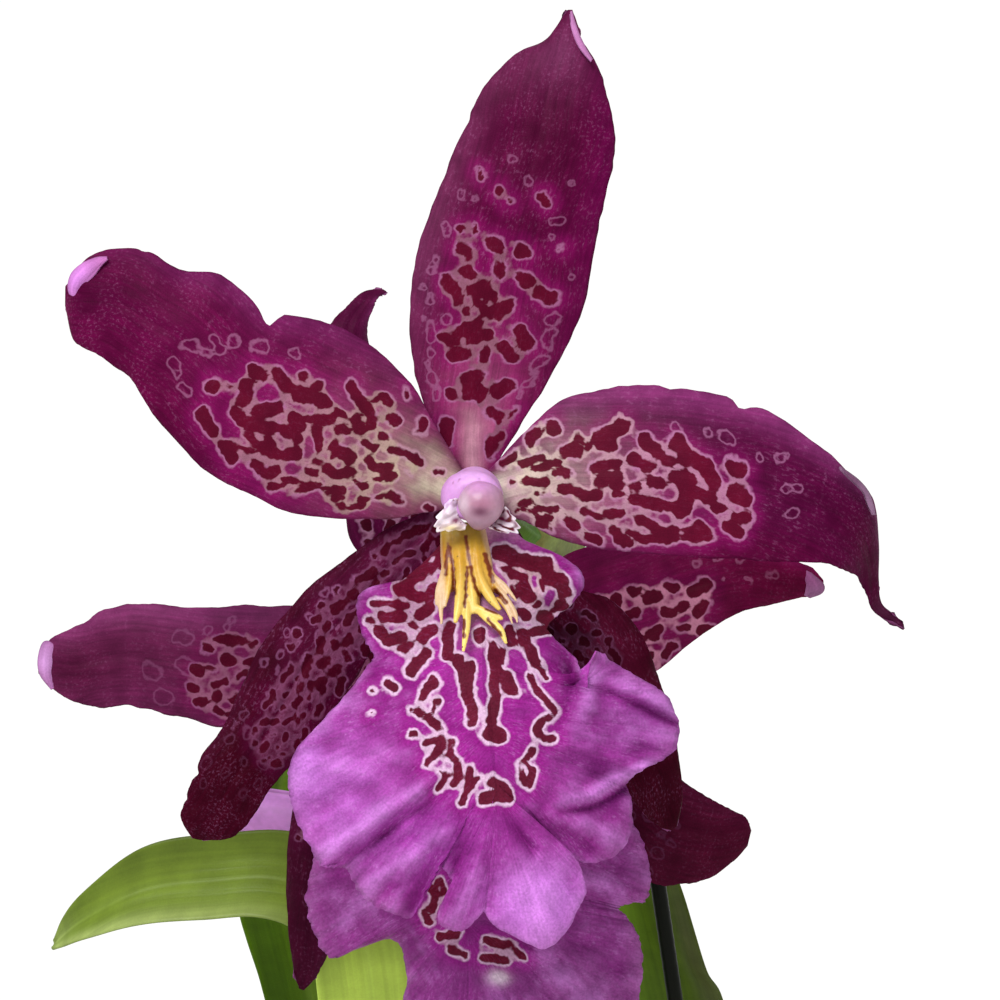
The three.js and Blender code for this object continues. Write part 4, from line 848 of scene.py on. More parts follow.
rearTepals["right_sepal"] = {
    "waves": 3,
    "seed": 61,
    "rows": [
        (-1.5, -20.3, -3, -22.3, 38.9, 0, 0), (4.4, -22.2, 0.6, -27.5, 39.4, 0.2, 0.2),
        (11.2, -25.6, 5.6, -34.4, 40, 0.6, 0.6), (17.5, -30, 11.2, -41.2, 40.4, 1, 1),
        (21.9, -33.1, 16.9, -46.5, 40.8, 1.2, 1.2), (25.6, -36.1, 21.9, -49.1, 41.2, 1.2, 1.2),
        (29.1, -38.4, 25.9, -49.2, 41.8, 1.2, 1.2), (31.9, -39.8, 29.1, -48.5, 42.4, 0.8, 0.8),
        (33.9, -41, 32.1, -46.5, 43.2, 0.4, 0.4), (34.5, -42.5, 34, -44.5, 44, 0, 0),
    ],
    # Dark ground and low mark tone: partly the sepal's own colour, partly painted shade
    "ground": "#460924",
    "patches": [("#511230", 0.7, -0.9, 0.3, 0.3, 0.6), ("#3d061c", 0.9, 0.3, 0.15, 0.6, 0.6)],
    "net": "#4c1f34",
    "netFade": (0.5, 0.75, 0.15, 0.6),
    "ringWidth": 0.12,
    "markToneAndShade": 0.5,
    "strewn": [
        {"seed": 73, "tries": 60, "u": (0.3, 0.6), "v": (-0.2, 0.8), "size": 0.75,
         "gap": 1.2, "ringsOnly": True},
    ],
}

tepalShape = {
    "along": 132,
    "across": 52,
    "thickness": 0.45,
    "wave": 0.5,
    "ruffle": 0.35,
    "groove": 0.3,
    "swell": 0.22,
    "reverse": "#8a4a7a",
}


# Marks strewn by rule where a sepal is mostly hidden or far: clear of each other, longer than broad
def strewnMarks(tepal, spread):
    draw = np.random.default_rng(spread["seed"])
    marks = []
    centres = []
    for _ in range(spread["tries"]):
        u = draw.uniform(*spread["u"])
        v = draw.uniform(*spread["v"])
        ax, az, bx, bz = curveAt(tepal["rows"], np.array(u))[:4]
        nx, nz, mx, mz = curveAt(tepal["rows"], np.array(min(u + 0.03, 1)))[:4]
        across = np.array([ax + (bx - ax) * (v + 1) / 2, az + (bz - az) * (v + 1) / 2])
        along = unit(np.array([nx + (mx - nx) * (v + 1) / 2, nz + (mz - nz) * (v + 1) / 2]) - across)
        size = spread["size"] * draw.uniform(0.65, 1.2)
        reach = size * (spread["gap"] + 1.7)
        if any(np.hypot(*(across - other)) < reach * 0.5 + room for other, room in centres):
            continue
        centres.append((across, reach * 0.5))
        half = along * size * draw.uniform(0.1, 0.75)
        side = np.array([-along[1], along[0]]) * size * draw.uniform(-0.3, 0.3)
        marks.append((size * 0.62, *(across - half + side), *(across + half - side)))
    return marks


def tepalGrid(tepal):
    u = np.linspace(0, 1, tepalShape["along"])[:, None]
    v = np.linspace(-1, 1, tepalShape["across"])[None, :]
    rows = curveAt(tepal["rows"], u)
    ax, az, bx, bz, rib, backA, backB = np.moveaxis(rows, -1, 0)
    length = np.hypot(*(np.mean(tepal["rows"], axis=0)[:2] - np.array(tepal["rows"][0])[:2])) * 2
    width = np.hypot(bx - ax, bz - az)
    seed = tepal["seed"]
    pull = 0.13 * unevenness(seed, 6, u * length, np.sign(v) * 9) * np.abs(v) ** 4
    pull = pull + 0.04 * unevenness(seed + 7, 1.6, u * length, np.sign(v) * 9) * np.abs(v) ** 6
    for side, at, depth, before, after in tepal.get("nicks", []):
        reach = np.where(u < at, before, after)
        pull = pull + depth * np.exp(-(((u - at) / reach) ** 2)) * (v * side > 0) * np.abs(v) ** 6
    v2 = v * (1 - np.clip(2 * pull / np.maximum(width, 1), -0.2, 0.8))
    wave = tepalShape["wave"] * np.abs(v2) ** 3 * np.sin(np.pi * u) ** 2
    swing = np.sin(2 * np.pi * tepal["waves"] * u + 2 * v2)
    back = (v2 * v2 * (backA + backB)) / 2 + (v2 * (backB - backA)) / 2
    ruffle = unevenness(seed + 1, 5, u * length, v2 * 5) * np.abs(v2) ** 4 * np.sin(np.pi * u) ** 0.5
    swell = unevenness(seed + 2, 9, u * length, v2 * width / 2) * (1 - v2**4)
    ridges = unevenness(seed + 3, 1.5, v2 * width / 2 + 0 * u, u * length * 0.06) * 0.05
    groove = np.exp(-((v2 * width / 1.1) ** 2)) * np.sin(np.pi * u)
    depth = rib + back + wave * swing + tepalShape["ruffle"] * ruffle + tepalShape["swell"] * swell
    depth = depth + tepalShape["groove"] * groove + ridges
    x = (ax + bx) / 2 + v2 * (bx - ax) / 2
    z = (az + bz) / 2 + v2 * (bz - az) / 2
    return u, v2, x, z, depth, width, length


def tepalShell(tepal):
    u, v, x, z, depth, width, length = tepalGrid(tepal)
    marks = list(tepal.get("marks", []))
    rings = list(tepal.get("rings", []))
    for spread in tepal.get("strewn", []):
        (rings if spread["ringsOnly"] else marks).extend(strewnMarks(tepal, spread))
    thickness = tepalShape["thickness"] * (1 - 0.7 * np.abs(v) ** 8) * (1 - 0.6 * u**24)
    spot, second = markDistance(x, z, marks)
    fields = {
        "ground": painted(u, v, tepal["ground"], tepal["patches"]),
        "back_ground": painted(u, v, tepalShape["reverse"], []),
        "net": painted(u, v, tepal["net"], tepal.get("netPatches", [])),
        "netShare": netShareAt(u, v, tepal),
        "ring": tepal["ringWidth"] + 0 * x,
        "tone": tepal["markToneAndShade"] + 0 * x,
        "spot": spot,
        "back_spot": 6,
        "crowd": spot + second,
        "back_crowd": 9,
        "faint": markDistance(x, z, rings)[0],
        "back_faint": 6,
        "grain": stacked(v * width / 2, u * length, 0 * x),
        "plane": stacked(x, 0 * x, z),
    }
    blade = sheetShell(fromPlane(x, depth, z), thickness, (0, -1, 0), fields)
    return combined([blade, turnedShell(tepal["turned"])]) if "turned" in tepal else blade


def netShareAt(u, v, tepal):
    fade = tepal["netFade"]
    share = np.clip((fade[1] - u) / max(fade[1] - fade[0], 0.01), 0, 1)
    return fade[2] + (fade[3] - fade[2]) * share + 0 * v


# The lilac back of a tip that turns over forward: its outer and inner line in the picture plane
def turnedShell(turned):
    s = np.linspace(0, 1, 40)[:, None]
    t = np.linspace(0, 1, 12)[None, :]
    outer = curveAt(turned["outer"], s)
    inner = curveAt(turned["inner"], s)
    x = outer[..., 0] + (inner[..., 0] - outer[..., 0]) * t
    z = outer[..., 1] + (inner[..., 1] - outer[..., 1]) * t
    bulge = np.sin(np.pi * np.clip(t * 1.15, 0, 1)) * np.sin(np.pi * np.clip(s, 0.05, 0.95)) ** 0.6
    depth = turned["depth"][0] + (turned["depth"][1] - turned["depth"][0]) * s
    depth = depth - turned["bulge"] * bulge - turned["lift"] * t
    fields = {
        "ground": painted(s, t, turned["colour"], turned.get("patches", [])),
        "net": painted(s, t, turned["colour"], []),
        "netShare": 0,
        "ring": 0.3,
        "tone": 1,
        "spot": 6,
        "crowd": 9,
        "faint": 6,
        "grain": stacked(t * 2, s * 5, 0 * s),
        "plane": stacked(x, 0 * x, z),
    }
    return sheetShell(fromPlane(x, depth, z), 0.3, (0, -1, 0), fields)


for bloomName, tepals, skin, slot in (
    ("front", frontTepals, frontTepalSkin, "front_tepal"),
    ("rear", rearTepals, rearTepalShadedSkin, "rear_tepal"),
):
    for name, tepal in tepals.items():
        shell = placed(tepalShell(tepal), tilted)
        makePiece(f"{bloomName}_{name}_blade", shell, skin, [f"{bloomName}_{name}"])
print("petals and sepals built")


# Lips. left and right: the rim down each side from the column's foot to the lowest point, middle: the
# middle line, each point x, z and depth. folds: height towards the eye, width and points x, z from the
# rim inwards. marks as on the petals. patches: colour, place x and z, reaches, amount
frontLip = {
    "seed": 71,
    "left": [
        (-2.6, -4.5, -1.4), (-4.4, -6.9, -1.4), (-6.2, -8.8, -1.3), (-8, -10.4, -1), (-9.6, -11.6, -0.2),
        (-11.1, -11.9, 0.8), (-12.9, -12.1, 1.6), (-14.4, -13.1, 2), (-14.8, -14.9, 2),
        (-14.5, -16.9, 1.4), (-13.8, -18.8, 0.4), (-13, -20, -0.8), (-12.6, -20.9, -2),
        (-13.6, -22.2, -2.6), (-14.9, -24.1, -2.6), (-17, -26.6, -2), (-20, -29.8, -1),
        (-22.4, -32.5, -0.2), (-23.4, -35.5, 0.3), (-23, -38.8, 0), (-21.9, -42.1, -1), (-20.4, -45, -2.6),
        (-19.2, -46.9, -4.4), (-17.6, -47.1, -6.2), (-16.2, -47.2, -4.2), (-15.4, -48.8, -3),
        (-14.2, -50.5, -3), (-12.4, -51.9, -3), (-10.2, -52.9, -3.2), (-8.2, -53.5, -3.4),
        (-7.2, -51.9, -4.6), (-6.4, -49.2, -6.2), (-5.2, -46.9, -7.6), (-4.1, -47.2, -8.2),
        (-2.8, -48.8, -8.8), (-1.1, -49.9, -9.4), (-2.4, -50.6, -9.2), (-3.8, -51.4, -8.2),
        (-4.6, -52.8, -7), (-4.4, -54.2, -6.2), (-3, -55, -6.2), (-1.4, -55, -6.8), (-0.1, -53.9, -7.8),
        (1.1, -52.6, -9),
    ],
    "right": [
        (4.5, -4.5, -1.4), (5.9, -6.1, -1.4), (7.8, -7, -1.3), (9.8, -7.8, -1), (11.6, -8.8, -0.2),
        (13.1, -10.1, 0.5), (13.6, -11.5, 0.4), (12.9, -13.2, -0.4), (11.4, -14.8, -1.4), (9.9, -16, -2.6),
        (9, -17.2, -3.4), (9.8, -18.5, -3.6), (11.2, -19.8, -4), (12.8, -21.5, -4.8), (13.5, -24, -6.4),
        (13.8, -26, -8.2), (14.1, -23.4, -9), (14.6, -21, -8.8), (15.5, -20.1, -7.8), (16.8, -21.2, -6),
        (18.4, -22.2, -4.6), (21, -23.8, -3), (23.1, -25, -1.8), (24.5, -26.6, -1), (25.4, -29, -0.6),
        (25.4, -31.2, -1), (24.5, -32.9, -2.4), (23.1, -33.9, -4.6), (21.6, -34.6, -6.8),
        (19.9, -35.6, -4.6), (18.9, -36.8, -2.6), (19.5, -38.8, -2.8), (19.6, -41.2, -3),
        (19, -44.1, -3.4), (16.9, -45.9, -4.2), (15, -46.5, -5), (13.1, -46.4, -6), (10.6, -45, -7),
        (8.1, -43.9, -8.2), (5.8, -42.4, -9.8), (6.6, -44.1, -10.2), (8.9, -44.2, -10.6),
        (10.8, -44.5, -10.4), (12.6, -46.1, -9.6), (13.5, -48.2, -8.8), (13.8, -50.4, -8.2),
        (12.9, -52.2, -7.8), (11.6, -54.8, -7.4), (9.6, -56.9, -7.2), (7.8, -57.2, -7.6), (5, -55.8, -8.4),
        (2.5, -54.5, -9), (1.1, -52.6, -9),
    ],
    "middle": [
        (0.4, -3.9, -3.1), (0.5, -8.5, -5.4), (0.9, -13.8, -8), (1.4, -20, -10.5), (1.9, -26.2, -12.5),
        (2.4, -32.5, -13.5), (2.8, -38.8, -13.5),
    ],
    "marks": [
        (0.69, -2, -21.2, -1.4, -24, -0.6, -26.2, -0.2, -28.9), (0.56, -0.5, -21.8, -0.8, -25),
        (0.69, 2.2, -19.5, 2.5, -23, 2.4, -26.2, 2.1, -29), (1.12, 1.9, -30.4, 2.9, -30.6),
        (0.84, 3.5, -23.1, 4.6, -24.9), (0.56, 3.2, -20.2, 3.1, -21.5), (0.74, -3.1, -17.2, -3.5, -20.6),
        (0.77, -8, -22.6, -6, -20.6), (0.56, -10.8, -24.1, -10.1, -24.9), (0.69, -5.1, -23.9, -6.5, -25.9),
        (0.49, -7.8, -27.5, -6.4, -28, -5.4, -28.8, -4.2, -30.1, -4.2, -31.9, -5.1, -33.2, -5.9, -34.2),
        (0.43, -4.8, -26.6, -5.5, -28.2), (0.43, -6.2, -31.6, -4.4, -31.2),
        (0.35, -7.9, -30.5, -7.5, -30.6),
        (0.49, -2.9, -31.5, -3.1, -33.2, -2, -34.1, -2, -35.9, -2.6, -36.6),
        (0.45, -4.2, -35, -3.6, -35.9, -4.6, -37.2), (0.46, -0.6, -34.8, -0.9, -36.9, -1.6, -38.9),
        (0.43, 0.6, -35.8, -0.6, -37), (0.69, 2.1, -36.4, 3.8, -37.4, 2.6, -38, 1.1, -38.6, 4, -38.4),
        (0.43, 7.1, -32.4, 6.8, -33.2, 5.8, -34.2, 5.8, -36, 6.8, -36.9, 7.2, -35.2, 6.5, -34.4),
        (0.46, 6.8, -23.2, 7.6, -25, 9.1, -26.5, 9.8, -27.8, 8.2, -29, 7.6, -30.2, 8.6, -31, 9.8, -31),
        (0.28, 7.9, -22.2, 8.8, -23.6), (0.74, 5.8, -18, 6.8, -20.2, 7.5, -21.6),
        (0.66, 0.5, -18, 0.5, -18.6), (0.66, 4.1, -17.5, 4.4, -19),
        (0.99, -4.2, -6.2, -6.2, -8.2, -8, -10.2), (0.66, -9.5, -12.5, -7.1, -11.1, -5.6, -9.6),
        (0.82, -8.9, -12.6, -6.9, -13.5), (0.5, -12.5, -14.1, -8.4, -14.4),
        (0.82, -11.4, -15.8, -9.1, -15.9), (0.74, -6.8, -15.5, -5.5, -14.6),
        (0.82, -11.8, -17.6, -10.8, -18.8, -9.1, -18.4), (0.66, -9.1, -19.9, -8.1, -19.5),
        (0.91, -6.4, -18.2, -5.5, -17.5), (0.66, -5.1, -12.2, -5.6, -13.8),
        (1.07, 3.1, -7.9, 5.6, -8.9, 8.8, -9.5), (0.33, 3.1, -9.8, 3.8, -9.9),
        (0.58, 4.6, -10.6, 6.1, -10.9), (1.07, 5.9, -12.4, 6.4, -13.2),
        (0.99, 9.2, -10.9, 10.6, -11.8, 11, -12.6), (0.74, 5.6, -15.4, 6.1, -15.8),
        (0.91, 8.4, -15.8, 9.2, -16.1), (0.41, 9.6, -15.1, 11.4, -14.5), (0.66, 7.1, -17.9, 8.8, -17.5),
        (0.5, -7.6, -8.6, -6.8, -8.2), (0.45, -4.4, -8.4, -5.4, -10.6), (0.3, -3.6, -7.4, -4.2, -9.8),
        (0.4, -7.9, -16.9, -7.2, -17.3), (0.55, -13, -16.2, -12.8, -16.4), (0.3, 7.2, -14.6, 7.9, -14.2),
        (0.45, 4.4, -12.2, 4.9, -13.2), (0.35, 8.1, -11.4, 8.4, -12.6), (0.4, 10.3, -14.1, 11.1, -13.9),
        (0.3, -9.8, -11, -9.3, -11.1), (0.14, -13, -27.9, -12.8, -27.8), (0.16, -12.9, -25, -12.4, -25.2),
    ],
    "ground": "#8a2a80",
    "patches": [
        ("#b462bd", -17, -38, 7, 9, 0.8), ("#b974cc", -22, -34, 3, 7, 0.6),
        ("#94389a", -6, -44, 7, 5, 0.5), ("#bf72d0", 8, -52, 7, 5, 0.8), ("#a558aa", 19, -28, 7, 6, 0.6),
        ("#9a4596", 13, -36, 4, 5, 0.6), ("#8a1f7e", -7, -20, 6, 5, 0.8), ("#8a1f7e", 8, -17, 5, 5, 0.8),
        ("#8a1f7e", 1.5, -30, 7, 5, 0.7), ("#7a2470", -12, -24, 5, 4, 0.75),
        # The dark patch at x 11, z -22.5 is painted shade where the lip turns away beside the right flap
        ("#9a3a94", 20, -25.5, 5, 2, 0.7), ("#6f1260", 11, -22.5, 3, 3.5, 0.85),
        ("#7d2474", 15, -28.5, 3, 3, 0.5), ("#5e0f44", -10, -14, 6, 4, 0.9),
        ("#640f48", 9, -12, 5, 4, 0.85), ("#d9a9bd", 0.5, -8, 4.5, 6, 0.95),
        ("#c79ab4", 1, -17, 4.2, 2.4, 0.8), ("#c878d6", 8.2, -51, 4.5, 4.5, 0.8),
        ("#7c2474", 15.5, -30.5, 4.5, 4, 0.5), ("#86287e", 3, -45, 5, 3, 0.5),
    ],
    "net": "#c7a3bf",
    "netPatches": [("#8c6178", -9, -13, 6, 6, 0.9), ("#a67c7c", 7, -10, 5, 5, 0.7)],
    "ringWidth": 0.31,
    "blush": "#c987cf",
    "back": "#a13c9c",
    "bends": [
        (14, 0, 13, -28), (15, 0.2, 13, -28), (18, 1, 12.6, -28.5), (20, 0.6, 13, -28), (23, 0, 14, -28),
    ],
    "folds": [
        (1.9, 1, -18.1, -44.8, -11.4, -39.9, -5.1, -36.2),
        (-1.3, 0.8, -17.4, -46.8, -10.8, -42.2, -4.6, -38.6),
        (1.3, 1.2, -12.9, -49.2, -6.9, -44.8, -2.5, -41.8),
        (-1.2, 1.1, -2.5, -47.8, -1.6, -44.4, -1.4, -40.6), (1.4, 2.4, 8.1, -55.6, 7.9, -51.2, 5.6, -47.2),
        (-1.5, 0.8, 7.2, -45, 5.6, -43.1, 3.8, -40.2),
        (2.6, 0.9, 21.4, -34.6, 17.6, -36.2, 14.2, -38.3, 10.6, -38.9),
        (-2.2, 0.7, 20.8, -36.2, 17.4, -37.9, 14, -39.6, 10.6, -40.2),
        (1.3, 1.1, 13.6, -20.5, 14.2, -26.2, 12.5, -30.6),
        (-1.1, 1, 11.9, -21.2, 12.5, -26.2, 10.4, -30.6), (1.3, 1, 25, -27.6, 20.6, -25.1, 15.6, -23.2),
        (-1.8, 0.7, 24.9, -29.2, 20.2, -26.9, 15.2, -24.6),
        (0.7, 1.2, 25.1, -31.2, 20.6, -30.9, 13.1, -30.6),
        (-0.9, 1.2, 21.9, -32.9, 16.9, -33.4, 11.2, -34), (0.8, 1.6, -21.9, -29, -14.4, -26.2, -8.1, -25),
        (-0.8, 1.4, -22.4, -32, -15.6, -30.6, -8.1, -30),
        (0.7, 1.5, -22.8, -36.2, -15.6, -34.4, -6.9, -32.8),
        (-0.8, 1.3, -21.9, -40.6, -15.6, -37.8, -7.5, -35.2), (1, 1.2, 18.8, -44.4, 14.4, -42, 10, -40.2),
        (-0.9, 1, 15.6, -46, 12.5, -44, 9.1, -41.5), (-1.2, 1, -7.9, -51.9, -6.2, -49.4, -4.4, -46.2),
        (0.9, 1, -2.5, -53.5, -0.6, -50, 0.4, -46.2), (-0.9, 0.9, 1.9, -51.9, 2.1, -48.8, 1.9, -45),
        (0.8, 1.2, -12.9, -12.5, -11.2, -15, -9.4, -17.5),
        (-0.8, 1, -13.6, -16.2, -11.2, -18.1, -8.8, -20), (0.7, 1, 12.5, -10.6, 10, -11.9, 7.5, -13.8),
        (-0.7, 0.9, 11.9, -14.4, 9.4, -15, 6.9, -16.2),
    ],
}

rearLip = {
    "seed": 73,
    "left": [
        (-6.6, -23.9, 33.5), (-9.5, -26.8, 34), (-13, -28, 35.5), (-16.2, -31.5, 35.5), (-13.8, -35.4, 34),
        (-16.4, -39.5, 33.5), (-19.6, -45, 34.5), (-21.1, -50.6, 35), (-20.2, -55.1, 34),
        (-18.1, -58.4, 33), (-14.5, -57.2, 31.5), (-10, -56.2, 30.5), (-8.5, -61, 32), (-9.2, -66, 33),
        (-6.5, -71.5, 31), (-1.2, -73.6, 29),
    ],
    "right": [
        (-1.2, -23.9, 33.5), (3.1, -25.6, 34), (8.1, -27, 35), (10.2, -31, 34), (13, -35.8, 32.5),
        (17.4, -39.2, 34), (20.6, -43.1, 35), (21.9, -48.1, 35), (21.3, -51.2, 34.4), (19.8, -51.5, 34),
        (17.8, -52.2, 32.5), (19, -53.4, 33), (20.6, -56.4, 34), (20.8, -61, 34), (19.4, -66.2, 33),
        (15.6, -71.5, 31), (8.1, -74.8, 29.5), (-1.2, -73.6, 29),
    ],
    "middle": [
        (-4, -24.1, 31.6), (-3.6, -27.5, 29), (-2.9, -33, 26.5), (-2.1, -40, 24.5), (-1.5, -47.5, 23.5),
        (-0.9, -55, 24),
    ],
    "marks": [
        (0.55, -6.5, -48.2, -5, -50.6, -5.4, -52.4), (0.5, -4.4, -48.9, -3.9, -50.4),
        (0.55, -3.2, -53.2, -2.2, -55.2, -4.2, -55.8), (0.5, -5.6, -54.1, -6.4, -52.6),
        (0.5, -3.1, -57.3, -1.2, -57.9), (0.6, 1.3, -56.2, 3.4, -56.7), (0.55, 1.1, -58.3, 3.9, -58.8),
        (0.45, 4.9, -57.1, 5.9, -58.4), (0.5, -1.9, -46, -1.4, -49), (0.5, 1.6, -47, 2.4, -50.5),
        (0.6, -9, -33, -5.5, -31), (0.6, -8.6, -38, -6, -36), (0.6, 3, -32, 6, -34),
    ],
    "ground": "#85357e",
    "patches": [
        ("#6a1a62", -10, -52, 6, 4, 0.6), ("#9c569a", 14, -62, 6, 5, 0.6),
        ("#93448e", -14, -50, 5, 5, 0.5), ("#661a5c", 2, -55, 6, 4, 0.5),
        # The near-white spot is the bright backdrop painted where a small slit in the lip shows through
        ("#f0e6ea", 2.9, -60.6, 1.2, 1, 0.95),
    ],
    "net": "#b58aa6",
    "ringWidth": 0.2,
    "blush": "#b878b4",
    "back": "#8a3a86",
    "bends": [],
    "folds": [
        (0.9, 1.4, -16, -53, -11, -50, -7, -46), (-0.9, 1.3, -17, -48, -12, -46, -8, -43),
        (0.9, 1.6, 16, -66, 10, -60, 6, -55), (-0.9, 1.4, 18, -60, 12, -56, 8, -52),
        (0.8, 1.4, 18, -50, 12, -48, 7, -45), (0.9, 1.5, 4, -70, 3, -64, 2, -60),
        (-0.8, 1.3, -2, -71, -1, -65, -1, -60),
    ],
}

lipShape = {
    "along": 310,
    "across": 34,
    "thickness": 0.42,
    "frill": 0.3,
    "scallop": 0.14,
    "tooth": 0.06,
    "crumple": 0.3,
    "crinkle": 0.07,
    "crest": "#cf86da",  # painted highlight on a fold's crest, and painted shade in its valley
    "valleyShade": "#7a1870",
}


def lipShell(lip):
    s = np.linspace(0, 1, lipShape["along"])[:, None]
    v = np.linspace(0, 1, lipShape["across"])[None, :]
    halves = []
    for side, sign in (("left", -1), ("right", 1)):
        rim = curveAt(lip[side], s)
        middle = curveAt(lip["middle"], np.sin(np.pi * s / 2))
        length = np.linalg.norm(np.diff(np.array(lip[side]), axis=0), axis=1).sum()
        free = np.sin(np.pi * np.clip(s, 0, 1)) ** 0.4
        scallop = lipShape["scallop"] * unevenness(lip["seed"] + sign, 1.6, s * length, 0 * s) * free
        tooth = lipShape["tooth"] * unevenness(lip["seed"] + 3 * sign, 0.7, s * length, 0 * s) * free
        reach = np.hypot(rim[..., 0] - middle[..., 0], rim[..., 1] - middle[..., 1])
        w = v * (1 + (scallop + tooth) / np.maximum(reach, 3) * v**6)
        x = middle[..., 0] + (rim[..., 0] - middle[..., 0]) * w
        z = middle[..., 1] + (rim[..., 1] - middle[..., 1]) * w
        if sign > 0 and lip["bends"]:
            bends = np.array(lip["bends"])
            row = s * (len(lip[side]) - 1)
            share, bendX, bendZ = (np.interp(row, bends[:, 0], bends[:, k]) for k in (1, 2, 3))
            lean = 2 * w * (1 - w) * share
            x = x + lean * (bendX - (rim[..., 0] + middle[..., 0]) / 2)
            z = z + lean * (bendZ - (rim[..., 1] + middle[..., 1]) / 2)
        frill = lipShape["frill"] * unevenness(lip["seed"] + 5 * sign, 2.6, s * length, 0 * s) * v**5 * free
        depth = middle[..., 2] + (rim[..., 2] - middle[..., 2]) * v**2 + frill
        crumple = unevenness(lip["seed"] + 7, 3.4, x, z) * np.minimum(v * 3, 1) * np.minimum((1 - s) * 8, 1)
        crinkle = unevenness(lip["seed"] + 9, 1.3, x, z) * np.minimum(v * 2, 1)
        depth = depth - lipShape["crumple"] * crumple - lipShape["crinkle"] * crinkle
        relief = 0.45 * crumple * v + 0.2 * crinkle
        for height, width, *path in lip["folds"]:
            distance, along = pathDistance(x, z, path)
            fold = height * np.exp(-((distance / width) ** 2)) * (1 - 0.75 * along**2)
            relief = relief + fold
            depth = depth - fold
        grain = stacked(sign * s * length * 0.6, v * reach, 0 * s)
        halves.append((x, z, depth, grain, v + 0 * s, relief + 0.8 * frill))
    x, z, depth, grain, edge, relief = (
        np.concatenate([left[:, :0:-1], right], axis=1) for left, right in zip(*halves)
    )
    ground = painted(x, z, lip["ground"], lip["patches"])
    light = np.clip((edge - 0.88) / 0.12, 0, 1)[..., None] * 0.25
    ground = ground + (linear(lip["blush"]) - ground) * light
    # Painted highlight on the crests of folds and crumples, and painted shade in their valleys
    ground = tinted(ground, lipShape["crest"], np.clip(relief * 0.35, 0, 0.6))
    ground = tinted(ground, lipShape["valleyShade"], np.clip(-relief * 0.5, 0, 0.85))
    spot, second = markDistance(x, z, lip["marks"])
    fields = {
        "ground": ground,
        "back_ground": painted(x, z, lip["back"], []),
        "net": painted(x, z, lip["net"], lip.get("netPatches", [])),
        "netShare": 0.95 + 0 * x,
        "ring": lip["ringWidth"] + 0 * x,
        "tone": 1.0 + 0 * x,
        "spot": spot,
        "back_spot": 6,
        "crowd": spot + second,
        "back_crowd": 9,
        "faint": 6,
        "grain": grain,
        "plane": stacked(x, 0 * x, z),
    }
    thickness = lipShape["thickness"] * (1 - 0.6 * edge**8)
    return sheetShell(fromPlane(x, depth, z), thickness, (0, -1, 0), fields)


for name, lip in (("front_lip", frontLip), ("rear_lip", rearLip)):
    makePiece(f"{name}_blade", placed(lipShell(lip), tilted), lipSkin, [name])
print("lips built")


